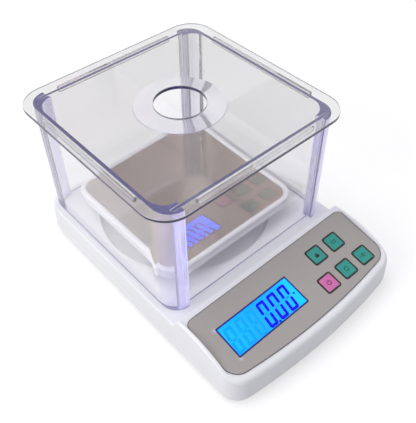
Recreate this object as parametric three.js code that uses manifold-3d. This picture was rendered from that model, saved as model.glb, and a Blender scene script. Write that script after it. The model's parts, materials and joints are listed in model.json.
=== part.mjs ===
import * as THREE from 'three';
import { mergeVertices } from 'three/addons/utils/BufferGeometryUtils.js';
import Module from 'manifold-3d';

// Compact laboratory balance: a white housing with a sloped control panel at its front, a square pan on a
// load cell, and a clear draft shield with a loose lid. Millimetres, +Z up, the front faces -Y.
// Places are measured from the upright axis through the middle of the pan, and heights from the floor.

const wasm = await Module();
wasm.setup();

// Clearances and shared sizes
const gap = 0.3;
const overrun = 1;
const housingWall = 2.2;
const roundSteps = 24;
const smallSteps = 12;

// Pan and its tray
const panSide = 132;
const panCorner = 15;
const panRimWidth = 4.7;
const panHeight = 11.4;
const panWall = 1.8;
const panDraft = 1.4;
const panRimRound = 1.4;
const plateThickness = 0.9;
const plateSink = 0.9;
const plateEdge = 0.25;
const panLiftAboveDeck = 8;

// Draft shield
const panToShield = 13.2;
const sideWall = 2.8;
const shieldHeight = 102.3;
const shieldWidth = panSide + 2 * (panToShield + sideWall);
const paneThickness = 2.4;
const outerLip = 3.8;
const innerLip = 2.5;
const channelDepth = 7;
const shieldCorner = 15;
const innerCorner = 14;
const paneSetIn = 1;
const paneHalf = shieldWidth / 2 - paneSetIn;
const shieldDepth = 2 * (paneHalf + gap + outerLip);

// Lid
const lidOverhang = 5.3;
const lidThickness = 2.5;
const lidCorner = 22;
const lidEdge = 0.7;
const lidHoleRadius = 20;
const lidRingRadius = 35.4;
const lidRingHeight = 0.4;
const lidRingRise = 2.1;
const lidRibLength = 110;
const lidRibWidth = 2.4;
const lidRibHeight = 4;
const lidRibPlay = 0.6;

// Base, seen from above
const sideLedge = 7;
const rearLedge = 2.2;
const rearCorner = 18;
const frontCorner = 16;
const frontBow = 560;
const draftAngle = THREE.MathUtils.degToRad(2.5);
const edgeRound = 1.6;
const frontRound = 4.5;
const wellMargin = 6.5;
const wellDepth = 5;
const wellSlope = 3;

// Control panel
const ridgeSetback = 4.1;
const ridgeRun = 4.8;
const ridgeRise = 9.5;
const panelSlope = THREE.MathUtils.degToRad(11.5);
const rimWidth = 4.3;
const rimArc = 95;
const rimCrest = 8;
const overlayMargin = 4.6;
const overlayThickness = 0.5;
const overlayPlay = 0.4;
const overlayRearCorner = 6;
const overlayFrontCorner = 13;
const frontMargin = 7.4;

// Display and keys, measured on the slope from the overlay's own edges
const windowWidth = 71.5;
const windowHeight = 26.5;
const windowSetback = 17.2;
const windowLeftMargin = 14.6;
const windowFrontMargin = 15.2;
const windowToKeys = 6;
const windowShoulder = 1;
const keySide = 12.4;
const keyCorner = 1.2;
const keyPitch = 20.6;
const keyRowPitch = 23.1;
const keyRowSetback = 19.2;
const keyRightMargin = 17.1;
const keyFrontMargin = 10.4;
const keyThickness = 1;
const keyProud = 0.15;
const keyTravel = 0.4;
const keyPlay = 0.2;
const stemRadius = 2.6;
const stemPlay = 0.5;

// Electronics behind the panel
const glassThickness = 2.8;
const glassBorder = 3;
const guideThickness = 3;
const frameWall = 1.5;
const boardThickness = 1.6;
const boardMargin = 0.8;
const boardRear = 9;
const boardFront = 9.4;
const boardBossInset = 3.5;
const boardBossRadius = 2.4;
const boardScrewRadius = 1.1;
const boardScrewHead = 2.1;
const boardScrewHeadHeight = 1.3;
const boardScrewLength = 5;
const switchSide = 6;
const switchHeight = 3.4;
const plungerRadius = 1.7;
const plungerHeight = 1.1;
const stripWidth = 2;
const chipSide = 12;
const chipHeight = 1.4;
const chipOffset = 40;

// Lower housing
const floorClearance = 4;
const footRadius = 8;
const footRecess = 1;
const footInset = 20;
const footScrewGap = 11.8;
const floorThickness = 2.2;
const splitHeight = 5.3;
const splitReveal = 0.7;
const lowerRound = 1.5;
const lipHeight = 3.2;
const lipWall = 1.5;

// Battery tub, door and cells
const cellDiameter = 14.5;
const cellLength = 49.2;
const cellTipRadius = 2.7;
const cellTipLength = 1.2;
const cellSpace = 0.8;
const tubWall = 1.8;
const tubOffset = 47;
const contactSpace = 2.4;
const contactThickness = 0.4;
const contactWidth = 9;
const doorThickness = 1.4;
const doorOverlap = 1.1;
const doorSeatDepth = 0.8;
const headroom = 1.7;
const doorRibCount = 4;
const doorRibPitch = 3;
const doorRibWidth = 1.2;
const doorRibHeight = 0.5;

// Load cell and platform
const barLength = 47;
const barWidth = 12;
const barHeight = 6;
const barLobeRadius = 2.1;
const barLobePitch = 10;
const barWebSlot = 1.2;
const barHoleInset = 5;
const barHolePitch = 8;
const barScrewRadius = 1.4;
const barScrewHead = 2.7;
const barScrewHeadHeight = 2;
const barScrewBite = 4;
const seatHeight = 5;
const seatWidth = 14;
const seatLength = 17;
const stopRadius = 1.5;
const stopGap = 0.45;
const stopBossRadius = 4;
const padThickness = 3;
const postLength = 22;
const spiderSpan = 104;
const spiderWidth = 15;
const spiderThickness = 3.6;
const slotPlay = 2;
const padBoss = 1.6;

// Housing screws
const screwBossRadius = 3.6;
const screwRadius = 1.4;
const screwHead = 2.8;
const screwHeadHeight = 2;
const screwBite = 9;
const screwSide = 10;
const screwRearY = 46;
const screwMiddleY = -52;
const screwFrontX = 62;
const screwLipGap = 1.6;

// Leads
const leadRadius = 0.9;
const leadSides = 8;
const leadRunX = 15;
const leadDrop = 5;
const leadBoardX = 24;
const leadBoardSetback = 4;

// Heights that follow from the parts stacked under the pan
const floorTop = floorClearance + floorThickness;
const splitZ = floorClearance + splitHeight;
const cellsBottom = floorClearance + doorThickness + gap + doorSeatDepth;
const tubTop = cellsBottom + cellDiameter + gap + tubWall;
const wellFloorZ = tubTop + headroom + housingWall;
const deckZ = wellFloorZ + wellDepth;
const shieldBottom = deckZ + gap;
const lidBottom = shieldBottom + shieldHeight + gap;
const panBottom = deckZ + panLiftAboveDeck;
const panTop = panBottom + panHeight;
const barBottom = floorTop + seatHeight + gap;
const padBottom = barBottom + barHeight + gap;
const spiderTop = panBottom - gap;

// How far the housing's sides lean in at a height
function draftAt(z) {
  return (z - floorClearance) * Math.tan(draftAngle);
}

// Places that follow from the pan, the shield and the panel. The panel holds the display beside the keys,
// and the base is as wide as the shield or the panel asks for.
const overlayLength = Math.max(windowSetback + windowHeight + windowFrontMargin,
  keyRowSetback + keyRowPitch + keySide / 2 + keyFrontMargin);
const panelLeast = windowLeftMargin + windowWidth + windowToKeys
  + keySide / 2 + 2 * keyPitch + keyRightMargin;
const lidHalf = shieldDepth / 2 + lidOverhang;
const baseHalf = Math.max(shieldWidth / 2 + sideLedge, panelLeast / 2 + overlayPlay + rimWidth);
const rearReach = shieldDepth / 2 + rearLedge;
const ridgeFootY = -(shieldDepth / 2 + ridgeSetback);
const ridgeTopY = ridgeFootY - ridgeRun;
const ridgeTopZ = deckZ + ridgeRise;
const panelRun = (overlayMargin + overlayLength) * Math.cos(panelSlope);
const frontReach = panelRun + frontMargin - ridgeTopY;
const wellRadius = panSide / 2 + wellMargin;
const recessHalf = baseHalf - rimWidth;
const overlayHalf = recessHalf - overlayPlay;
const axisY = (frontReach - draftAt(splitZ) - Math.max(lidHalf, rearReach)) / 2;

// Stack behind the panel, measured from the panel's surface along its normal
const overlayBottom = gap;
const overlayTop = overlayBottom + overlayThickness;
const keyTop = overlayTop + keyProud;
const keyBottom = keyTop - keyThickness;
const keyPocket = keyTravel + keyPlay - keyBottom;
const glassTop = -housingWall - gap;
const glassBottom = glassTop - glassThickness;
const guideTop = glassBottom - gap;
const boardTop = guideTop - guideThickness - gap;
const boardBottom = boardTop - boardThickness;
const switchTop = boardTop + gap + switchHeight;
const plungerTop = switchTop + plungerHeight;
const stemBottom = plungerTop + keyTravel + keyPlay;
const windowX = -overlayHalf + windowLeftMargin + windowWidth / 2;
const windowY = -(overlayMargin + windowSetback + windowHeight / 2);
const boardHalf = recessHalf - boardMargin;
const boardFrontY = -(overlayMargin + overlayLength - boardFront);

// Solids and geometries
function toSolid(geometry) {
  const bare = geometry.clone();
  bare.deleteAttribute('normal');
  bare.deleteAttribute('uv');
  const merged = mergeVertices(bare);
  const mesh = new wasm.Mesh({
    numProp: 3,
    vertProperties: new Float32Array(merged.attributes.position.array),
    triVerts: new Uint32Array(merged.index.array),
  });
  return new wasm.Manifold(mesh);
}

function toGeometry(solid) {
  const mesh = solid.getMesh();
  const geometry = new THREE.BufferGeometry();
  geometry.setAttribute('position', new THREE.BufferAttribute(new Float32Array(mesh.vertProperties), 3));
  geometry.setIndex(new THREE.BufferAttribute(new Uint32Array(mesh.triVerts), 1));
  geometry.computeVertexNormals();
  return geometry;
}

function addAll(first, others) {
  return others.reduce((sum, other) => sum.add(other), first);
}

function cutAll(first, others) {
  return others.reduce((rest, other) => rest.subtract(other), first);
}

// A box between two corners
function box(low, high) {
  const geometry = new THREE.BoxGeometry(high[0] - low[0], high[1] - low[1], high[2] - low[2]);
  return geometry.translate((low[0] + high[0]) / 2, (low[1] + high[1]) / 2, (low[2] + high[2]) / 2);
}

// An upright cylinder or cone between two heights
function disc(x, y, bottom, top, radius, topRadius = radius, steps = 2 * roundSteps) {
  const geometry = new THREE.CylinderGeometry(topRadius, radius, top - bottom, steps);
  geometry.rotateX(Math.PI / 2);
  return geometry.translate(x, y, (top + bottom) / 2);
}

function post(x, y, bottom, top, radius) {
  return disc(x, y, bottom, top, radius, radius, smallSteps);
}

// A shape pushed up from one height to another
function slab(shape, bottom, top, curveSegments = 6) {
  const options = { depth: top - bottom, bevelEnabled: false, curveSegments };
  const geometry = new THREE.ExtrudeGeometry(shape, options);
  return geometry.translate(0, 0, bottom);
}

function roundedRect(halfX, halfY, radius, x = 0, y = 0) {
  const shape = new THREE.Shape();
  shape.moveTo(x + halfX, y - halfY + radius);
  shape.lineTo(x + halfX, y + halfY - radius);
  shape.absarc(x + halfX - radius, y + halfY - radius, radius, 0, Math.PI / 2);
  shape.lineTo(x - halfX + radius, y + halfY);
  shape.absarc(x - halfX + radius, y + halfY - radius, radius, Math.PI / 2, Math.PI);
  shape.lineTo(x - halfX, y - halfY + radius);
  shape.absarc(x - halfX + radius, y - halfY + radius, radius, Math.PI, Math.PI * 3 / 2);
  shape.lineTo(x + halfX - radius, y - halfY);
  shape.absarc(x + halfX - radius, y - halfY + radius, radius, Math.PI * 3 / 2, Math.PI * 2);
  return shape;
}

// Outlines hold the right half only, from the rear middle to the front middle, with outward normals.
// The front is a shallow arc that meets the straight sides in round corners.
function bowedOutline({ half, rear, front, rearRound, frontRound: frontTurn, bow, levels }) {
  const points = [{ x: 0, y: rear, nx: 0, ny: 1, turn: 0 }];
  const arc = (x, y, radius, from, to, steps, turnFrom, turnTo) => {
    for (let step = 0; step <= steps; step += 1) {
      const share = step / steps;
      const angle = from + (to - from) * share;
      const nx = Math.cos(angle);
      const ny = Math.sin(angle);
      const turn = turnFrom + (turnTo - turnFrom) * share;
      points.push({ x: x + radius * nx, y: y + radius * ny, nx, ny, turn });
    }
  };
  arc(half - rearRound, rear - rearRound, rearRound, Math.PI / 2, 0, 7, 0, 0);
  const bowY = bow - front;
  const cornerX = half - frontTurn;
  const cornerY = bowY - Math.sqrt((bow - frontTurn) ** 2 - cornerX ** 2);
  const sides = levels.filter((level) => level < rear - rearRound && level > cornerY);
  for (const y of sides.sort((a, b) => b - a)) {
    points.push({ x: half, y, nx: 1, ny: 0, turn: 0 });
  }
  const bowAngle = Math.atan2(cornerY - bowY, cornerX);
  arc(cornerX, cornerY, frontTurn, 0, bowAngle, 9, 0, 1);
  arc(0, bowY, bow, bowAngle, -Math.PI / 2, 10, 1, 1);
  points[points.length - 1].x = 0;
  return points.filter((point, index) => index === 0 || distance(point, points[index - 1]) > 0);
}

function distance(a, b) {
  return Math.hypot(a.x - b.x, a.y - b.y);
}

// A square outline with four equal round corners, in the same form
function squareOutline(half, radius, steps = 8) {
  const points = [{ x: 0, y: half, nx: 0, ny: 1 }];
  for (const [centreY, from] of [[half - radius, Math.PI / 2], [radius - half, 0]]) {
    for (let step = 0; step <= steps; step += 1) {
      const angle = from - (step / steps) * Math.PI / 2;
      const nx = Math.cos(angle);
      const ny = Math.sin(angle);
      points.push({ x: half - radius + radius * nx, y: centreY + radius * ny, nx, ny });
    }
  }
  points.push({ x: 0, y: -half, nx: 0, ny: -1 });
  return points;
}

// A closed skin through rings that follow an outline. A ring gives, for an outline point, how far it is
// drawn in and its height. Both ends are closed with strips that run from side to side.
function loft(outline, rings) {
  const count = outline.length;
  const loop = 2 * count - 2;
  const vertices = [];
  for (const ring of rings) {
    const right = outline.map((point) => {
      const { inset, z } = ring(point);
      const y = point.y - inset * point.ny;
      const x = point.x === 0 ? 0 : point.x - inset * point.nx;
      return [x, y, typeof z === 'function' ? z(y) : z];
    });
    const left = right.slice(1, -1).reverse().map(([x, y, z]) => [-x, y, z]);
    vertices.push(...right, ...left);
  }
  const triangles = [];
  for (let ring = 0; ring < rings.length - 1; ring += 1) {
    for (let step = 0; step < loop; step += 1) {
      const next = (step + 1) % loop;
      const a = ring * loop + step;
      const b = ring * loop + next;
      const c = a + loop;
      const d = b + loop;
      triangles.push(a, c, d, a, d, b);
    }
  }
  const close = (start, upward) => {
    for (let step = 0; step < count - 1; step += 1) {
      const right = start + step;
      const nextRight = start + step + 1;
      const left = start + (loop - step) % loop;
      const nextLeft = start + (loop - step - 1) % loop;
      const strip = [];
      if (left !== right) strip.push([right, left, nextLeft]);
      if (nextLeft !== nextRight) strip.push([right, nextLeft, nextRight]);
      for (const face of strip) triangles.push(...(upward ? face : face.reverse()));
    }
  };
  close(0, false);
  close((rings.length - 1) * loop, true);
  const geometry = new THREE.BufferGeometry();
  geometry.setAttribute('position', new THREE.Float32BufferAttribute(vertices.flat(), 3));
  geometry.setIndex(triangles);
  return geometry;
}

// A tube that follows a smooth route
function tube(points, radius) {
  const route = new THREE.CatmullRomCurve3(points.map((point) => new THREE.Vector3(...point)));
  const section = new THREE.Shape();
  for (let side = 0; side < leadSides; side += 1) {
    const angle = side / leadSides * Math.PI * 2;
    section[side === 0 ? 'moveTo' : 'lineTo'](radius * Math.cos(angle), radius * Math.sin(angle));
  }
  const steps = 6 * (points.length - 1);
  return new THREE.ExtrudeGeometry(section, { steps, extrudePath: route, bevelEnabled: false });
}

// The panel's own frame: the origin is in the middle of the ridge's top edge, +Y runs up the slope and
// +Z is the panel's normal.
const panelFrame = new THREE.Matrix4()
  .makeRotationX(panelSlope)
  .setPosition(0, ridgeTopY, ridgeTopZ);

function onPanel(geometry) {
  return geometry.applyMatrix4(panelFrame);
}

// Materials
function finish(color, roughness, metalness = 0, extra = {}) {
  return new THREE.MeshStandardMaterial({ color, roughness, metalness, ...extra });
}

const whitePlastic = () => finish(0xf1f1f4, 0.35);
const clearPlastic = () => finish(0xdfe0f2, 0.08, 0, { transparent: true, opacity: 0.3 });
const greyFilm = () => finish(0xa29c97, 0.4);
const tealFilm = () => finish(0x2a9c90, 0.4);
const pinkFilm = () => finish(0xd873ae, 0.4);
const steel = () => finish(0xa59c92, 0.28, 1);
const zincSteel = () => finish(0xb9bcc0, 0.35, 1);
const aluminium = () => finish(0xc3c5c8, 0.4, 1);
const blackRubber = () => finish(0x2a2a2c, 0.85);
const blackPlastic = () => finish(0x1c1c1f, 0.5);
const boardGreen = () => finish(0x1f6b3f, 0.5);
const displayGlass = () => finish(0x1b8fe8, 0.15);
const guidePlastic = () => finish(0xeef6ff, 0.2);
const cellSleeve = () => finish(0x3d4046, 0.35);
const leadSheath = () => finish(0x8c2f2f, 0.5);

const balance = new THREE.Group();
const parts = new THREE.Group();
parts.position.y = axisY;
balance.add(parts);

function place(name, geometry, material) {
  const mesh = new THREE.Mesh(geometry, material);
  mesh.name = name;
  parts.add(mesh);
  return mesh;
}

// Top of the upper housing. The deck is level, the ridge climbs from it, and the side rims follow a
// shallow arc that stands proud of the panel and runs out into it near the front.
function panelPlane(y) {
  return ridgeTopZ + (y - ridgeTopY) * Math.tan(panelSlope);
}

function rimHeight(y) {
  const crestRise = rimArc - Math.sqrt(rimArc ** 2 - rimCrest ** 2);
  const run = Math.min(Math.abs(y - (ridgeTopY - rimCrest)), rimArc);
  return ridgeTopZ + crestRise - rimArc + Math.sqrt(rimArc ** 2 - run ** 2);
}

function housingTop(y) {
  if (y >= ridgeFootY) return deckZ;
  if (y >= ridgeTopY) return deckZ + ridgeRise * (ridgeFootY - y) / ridgeRun;
  return Math.max(panelPlane(y), rimHeight(y));
}

function cavityTop(y) {
  const foot = ridgeFootY - housingWall;
  const top = ridgeTopY - housingWall;
  const drop = housingWall / Math.cos(panelSlope);
  if (y >= foot) return deckZ - housingWall;
  if (y <= top) return panelPlane(y) - drop;
  const share = (foot - y) / ridgeRun;
  return deckZ - housingWall + (panelPlane(top) - drop - deckZ + housingWall) * share;
}

const rimLevelShares = [0.15, 0.3, 0.45, 0.6, 0.72, 0.84, 0.93];
const baseLevels = [ridgeFootY, ridgeFootY - housingWall, ridgeTopY, ridgeTopY - housingWall]
  .concat(rimLevelShares.map((share) => ridgeTopY - share * (frontReach + ridgeTopY)));

const baseOutline = bowedOutline({
  half: baseHalf,
  rear: rearReach,
  front: frontReach,
  rearRound: rearCorner,
  frontRound: frontCorner,
  bow: frontBow,
  levels: baseLevels,
});

// Screw posts that hold the two housings together. The front ones stand just inside the lip.
const lipInset = draftAt(splitZ + lipHeight) + housingWall + gap;
const bowAtScrew = frontBow - Math.sqrt(frontBow ** 2 - screwFrontX ** 2);
const screwSideX = baseHalf - screwSide;
const screwFrontY = bowAtScrew + lipInset + lipWall + screwLipGap + screwBossRadius - frontReach;
const screwPlaces = [
  [screwSideX, screwRearY], [-screwSideX, screwRearY],
  [screwSideX, screwMiddleY], [-screwSideX, screwMiddleY],
  [screwFrontX, screwFrontY], [-screwFrontX, screwFrontY],
];

// Keys: two in the rear row, three in the front row, the rows half a pitch apart
const lastKeyX = overlayHalf - keyRightMargin;
const rearRowY = -(overlayMargin + keyRowSetback);
const frontRowY = rearRowY - keyRowPitch;
const keys = [
  { name: 'key_hold', x: lastKeyX - keyPitch * 3 / 2, y: rearRowY, material: tealFilm },
  { name: 'key_count', x: lastKeyX - keyPitch / 2, y: rearRowY, material: tealFilm },
  { name: 'key_power', x: lastKeyX - keyPitch * 2, y: frontRowY, material: pinkFilm },
  { name: 'key_mode', x: lastKeyX - keyPitch, y: frontRowY, material: tealFilm },
  { name: 'key_tare', x: lastKeyX, y: frontRowY, material: tealFilm },
];

// Main board bosses, in the panel's frame
const boardBossX = boardHalf - boardBossInset;
const boardBossPlaces = [
  [boardBossX, -boardRear - boardBossInset], [-boardBossX, -boardRear - boardBossInset],
  [boardBossX, boardFrontY + boardBossInset], [-boardBossX, boardFrontY + boardBossInset],
];

// Platform post that passes through the well's floor
const postHalfX = seatWidth / 2;
const postHalfY = postLength / 2;

function upperHousing() {
  const turnRound = (point) => edgeRound + (frontRound - edgeRound) * point.turn;
  const arcSteps = [0, 1, 2, 3];
  const crown = arcSteps.map((step) => (point) => {
    const angle = step / (arcSteps.length - 1) * Math.PI / 2;
    const radius = turnRound(point);
    const inset = draftAt(housingTop(point.y)) + radius * (1 - Math.cos(angle));
    return { inset, z: (y) => housingTop(y) - radius * (1 - Math.sin(angle)) };
  });
  const skirt = () => ({ inset: draftAt(splitZ), z: splitZ });
  const outer = toSolid(loft(baseOutline, [skirt, ...crown]));

  const cavityLow = () => ({ inset: draftAt(splitZ) + housingWall, z: splitZ - overrun });
  const cavityHigh = (point) => ({ inset: draftAt(housingTop(point.y)) + housingWall, z: cavityTop });
  const cavity = toSolid(loft(baseOutline, [cavityLow, cavityHigh]));
  const wellPan = toSolid(disc(0, 0, wellFloorZ - housingWall, deckZ + overrun, wellRadius + housingWall));
  let housing = outer.subtract(cavity.subtract(wellPan));

  // Round well under the pan, with a sloped side and a slot for the platform post
  const wellFlare = wellSlope * overrun / wellDepth;
  housing = cutAll(housing, [
    toSolid(disc(0, 0, wellFloorZ, deckZ + overrun, wellRadius - wellSlope, wellRadius + wellFlare)),
    toSolid(slab(roundedRect(postHalfX + slotPlay, barLength / 2 + slotPlay, slotPlay),
      wellFloorZ - housingWall - overrun, wellFloorZ + overrun)),
  ]);

  // Panel recess between the side rims
  const recessLength = (frontReach + ridgeTopY) / Math.cos(panelSlope) + overrun;
  housing = housing.subtract(toSolid(onPanel(
    box([-recessHalf, -recessLength, 0], [recessHalf, 0, ridgeRise]))));

  // Posts for the housing screws and for the main board
  const posts = screwPlaces.map(([x, y]) => post(
    x, y, splitZ, cavityTop(y) + housingWall / 2, screwBossRadius));
  const boardPosts = boardBossPlaces.map(([x, y]) => onPanel(
    post(x, y, boardTop + gap, -housingWall / 2, boardBossRadius)));
  housing = addAll(housing, posts.concat(boardPosts).map(toSolid));
  const pilots = screwPlaces.map(([x, y]) => post(x, y, splitZ - overrun, splitZ + screwBite + gap,
    screwRadius + gap));
  const boardScrewTip = boardTop + boardScrewLength - boardThickness;
  const boardPilots = boardBossPlaces.map(([x, y]) => onPanel(
    post(x, y, boardTop - overrun, boardScrewTip + gap, boardScrewRadius + gap)));
  housing = cutAll(housing, pilots.concat(boardPilots).map(toSolid));

  // Openings for the display and the keys
  const opening = slab(roundedRect(windowWidth / 2 + windowShoulder, windowHeight / 2 + windowShoulder,
    windowShoulder, windowX, windowY), -housingWall - overrun, overrun, 3);
  const pockets = keys.map(({ x, y }) => slab(
    roundedRect(keySide / 2 + gap, keySide / 2 + gap, keyCorner, x, y), -keyPocket, overrun, 3));
  const wells = keys.map(({ x, y }) => post(x, y, -housingWall - overrun, overrun, stemRadius + stemPlay));
  return cutAll(housing, [opening, ...pockets, ...wells].map((geometry) => toSolid(onPanel(geometry))));
}

place('upper_housing', toGeometry(upperHousing()), whitePlastic());

// Lower housing: a floor with a low wall, a lip inside the upper housing, the battery tub, the load cell
// seat and the screw bosses
const cellPitch = cellDiameter + cellSpace;
const tubHalfX = cellPitch / 2 + cellDiameter / 2 + gap;
const tubHalfY = cellLength / 2 + cellTipLength + contactSpace;
const cellXs = [tubOffset - cellPitch / 2, tubOffset + cellPitch / 2];
const contactZ = cellsBottom + cellDiameter / 2;
const plateY = tubHalfY - gap - contactThickness;
const doorHalfX = tubHalfX + doorOverlap;
const doorHalfY = tubHalfY + doorOverlap;
const seatY = barLength / 2 - seatLength / 2;
const barHoleYs = [barLength / 2 - barHoleInset, barLength / 2 - barHoleInset - barHolePitch];
const footFrontY = screwFrontY + screwHead + footScrewGap + footRadius;
const footPlaces = {
  foot_rear_left: [footInset - baseHalf, rearReach - footInset],
  foot_rear_right: [baseHalf - footInset, rearReach - footInset],
  foot_front_left: [footInset - baseHalf, footFrontY],
  foot_front_right: [baseHalf - footInset, footFrontY],
};

function lowerHousing() {
  const edgeSteps = [0, 1, 2];
  const lowerEdge = edgeSteps.map((step) => () => {
    const angle = step / (edgeSteps.length - 1) * Math.PI / 2;
    return {
      inset: splitReveal + lowerRound * (1 - Math.sin(angle)),
      z: floorClearance + lowerRound * (1 - Math.cos(angle)),
    };
  });
  const wallTop = splitZ - gap;
  const outer = toSolid(loft(baseOutline, [...lowerEdge, () => ({ inset: splitReveal, z: wallTop })]));
  const inside = [floorTop, wallTop + overrun].map((z) => () => ({ inset: splitReveal + housingWall, z }));
  let housing = outer.subtract(toSolid(loft(baseOutline, inside)));

  // Lip that centres the upper housing
  const lipOuter = [floorTop, splitZ + lipHeight].map((z) => () => ({ inset: lipInset, z }));
  const lipInner = [floorTop - overrun, splitZ + lipHeight + overrun].map((z) => () => ({
    inset: lipInset + lipWall, z,
  }));
  housing = housing.add(toSolid(loft(baseOutline, lipOuter)).subtract(toSolid(loft(baseOutline, lipInner))));

  // Load cell seat, stop boss, screw bosses and the battery tub
  const tub = roundedRect(tubHalfX + tubWall, tubHalfY + tubWall, tubWall, tubOffset, 0);
  housing = addAll(housing, [
    box([-seatWidth / 2, seatY - seatLength / 2, floorTop - gap], [seatWidth / 2, seatY + seatLength / 2,
      barBottom - gap]),
    post(0, -barHoleYs[0], floorTop - gap, barBottom - 2 * gap, stopBossRadius),
    ...screwPlaces.map(([x, y]) => post(x, y, floorTop - gap, splitZ - gap, screwBossRadius)),
    slab(tub, floorTop - gap, tubTop, 3),
  ].map(toSolid));
  const insideTub = roundedRect(tubHalfX, tubHalfY, tubWall, tubOffset, 0);
  const doorSeat = roundedRect(doorHalfX + gap, doorHalfY + gap, tubWall, tubOffset, 0);
  const leadHole = new THREE.CylinderGeometry(leadRadius + gap, leadRadius + gap, 4 * tubWall, leadSides);
  leadHole.translate(cellXs[0], -tubHalfY, contactZ);
  return cutAll(housing, [
    slab(insideTub, floorClearance - overrun, tubTop - tubWall, 3),
    slab(doorSeat, floorClearance - overrun, floorClearance + doorThickness + gap, 3),
    ...Object.values(footPlaces).map(([x, y]) => disc(x, y, floorClearance - overrun,
      floorClearance + footRecess + gap, footRadius + gap, footRadius + gap, roundSteps)),
    ...screwPlaces.map(([x, y]) => post(x, y, floorClearance - overrun, splitZ + overrun, screwRadius + gap)),
    ...screwPlaces.map(([x, y]) => post(x, y, floorClearance - overrun,
      floorClearance + screwHeadHeight / 2 + gap, screwHead + gap)),
    ...barHoleYs.map((y) => post(0, y, floorClearance - overrun, barBottom + overrun, barScrewRadius + gap)),
    ...barHoleYs.map((y) => post(0, y, floorClearance - overrun,
      floorClearance + barScrewHeadHeight + 2 * gap, barScrewHead + gap)),
    post(0, -barHoleYs[0], floorClearance - overrun, barBottom, stopRadius + gap),
    leadHole,
  ].map(toSolid));
}

place('lower_housing', toGeometry(lowerHousing()), whitePlastic());

for (const [name, [x, y]] of Object.entries(footPlaces)) {
  const flare = footRadius - edgeRound / 2;
  const profile = [
    new THREE.Vector2(0, 0),
    new THREE.Vector2(flare, 0),
    new THREE.Vector2(footRadius, edgeRound / 2),
    new THREE.Vector2(footRadius, floorClearance + footRecess),
    new THREE.Vector2(0, floorClearance + footRecess),
  ];
  const foot = new THREE.LatheGeometry(profile, roundSteps).rotateX(Math.PI / 2);
  place(name, foot.translate(x, y, 0), blackRubber());
}

// Screws: a shank and a head, each a closed solid turned about its own axis
function screw(headBottom, shankEnd, shank, head, headHeight) {
  const up = shankEnd > headBottom ? 1 : -1;
  const profile = [
    new THREE.Vector2(0, 0),
    new THREE.Vector2(head, 0),
    new THREE.Vector2(head, headHeight),
    new THREE.Vector2(shank, headHeight),
    new THREE.Vector2(shank, Math.abs(shankEnd - headBottom)),
    new THREE.Vector2(0, Math.abs(shankEnd - headBottom)),
  ];
  const turned = new THREE.LatheGeometry(profile, smallSteps).rotateX(up * Math.PI / 2);
  return turned.translate(0, 0, headBottom);
}

screwPlaces.forEach(([x, y], index) => {
  const turned = screw(floorClearance - screwHeadHeight / 2, splitZ + screwBite, screwRadius, screwHead,
    screwHeadHeight);
  place(`housing_screw_${index + 1}`, turned.translate(x, y, 0), zincSteel());
});

// Load cell: a bar along Y with two lobes joined by a slot, fixed at its rear end
function loadCell() {
  const bar = box([-barWidth / 2, -barLength / 2, barBottom],
    [barWidth / 2, barLength / 2, barBottom + barHeight]);
  const middle = barBottom + barHeight / 2;
  const across = (y) => {
    const lobe = new THREE.CylinderGeometry(barLobeRadius, barLobeRadius, barWidth + 2 * overrun, smallSteps);
    return lobe.rotateZ(Math.PI / 2).translate(0, y, middle);
  };
  const web = box([-barWidth / 2 - overrun, -barLobePitch / 2, middle - barWebSlot / 2],
    [barWidth / 2 + overrun, barLobePitch / 2, middle + barWebSlot / 2]);
  const holes = barHoleYs.concat(barHoleYs.map((y) => -y)).map((y) => post(0, y, barBottom - overrun,
    barBottom + barHeight + overrun, barScrewRadius + gap));
  return toGeometry(cutAll(toSolid(bar), [web, across(barLobePitch / 2), across(-barLobePitch / 2), ...holes]
    .map(toSolid)));
}

place('load_cell', loadCell(), aluminium());
barHoleYs.forEach((y, index) => {
  const turned = screw(floorClearance + gap, barBottom + barScrewBite, barScrewRadius, barScrewHead,
    barScrewHeadHeight);
  place(`load_cell_screw_${index + 1}`, turned.translate(0, y, 0), zincSteel());
});
place('overload_stop', post(0, -barHoleYs[0], floorClearance + gap, barBottom - stopGap, stopRadius),
  zincSteel());

// Platform support: a pad on the free end of the load cell, a post through the well and a cross
function platformSupport() {
  const padTop = padBottom + padThickness;
  const crossBottom = spiderTop - spiderThickness;
  const pad = box([-postHalfX, -barLength / 2, padBottom + padBoss],
    [postHalfX, barLength / 2, padTop + padBoss]);
  const seat = box([-postHalfX, -barLength / 2, padBottom],
    [postHalfX, -barLength / 2 + seatLength, padTop + padBoss]);
  const column = box([-postHalfX, -postHalfY, padTop], [postHalfX, postHalfY, spiderTop]);
  const arm = box([-spiderSpan / 2, -spiderWidth / 2, crossBottom],
    [spiderSpan / 2, spiderWidth / 2, spiderTop]);
  const cross = [Math.PI / 4, -Math.PI / 4].map((turn) => arm.clone().rotateZ(turn));
  const solid = addAll(toSolid(pad), [seat, column, ...cross].map(toSolid));
  const holes = barHoleYs.map((y) => post(0, -y, padBottom - overrun, padTop + padBoss + overrun,
    barScrewRadius + gap));
  const access = barHoleYs.map((y) => post(0, -y, padTop + padBoss, spiderTop + overrun, barScrewHead + gap));
  return toGeometry(cutAll(solid, holes.concat(access).map(toSolid)));
}

place('platform_support', platformSupport(), whitePlastic());
barHoleYs.forEach((y, index) => {
  const headTop = padBottom + padThickness + padBoss + gap + barScrewHeadHeight;
  const turned = screw(headTop, padBottom - barScrewBite, barScrewRadius, barScrewHead, barScrewHeadHeight);
  place(`platform_screw_${index + 1}`, turned.translate(0, -y, 0), zincSteel());
});

// Pan frame: a shallow white tray with a round rim. The plate lies in its recess.
const panOutline = squareOutline(panSide / 2, panCorner);
const plateTop = panTop - plateSink;
const recessFloor = plateTop - plateThickness - gap;

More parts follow.
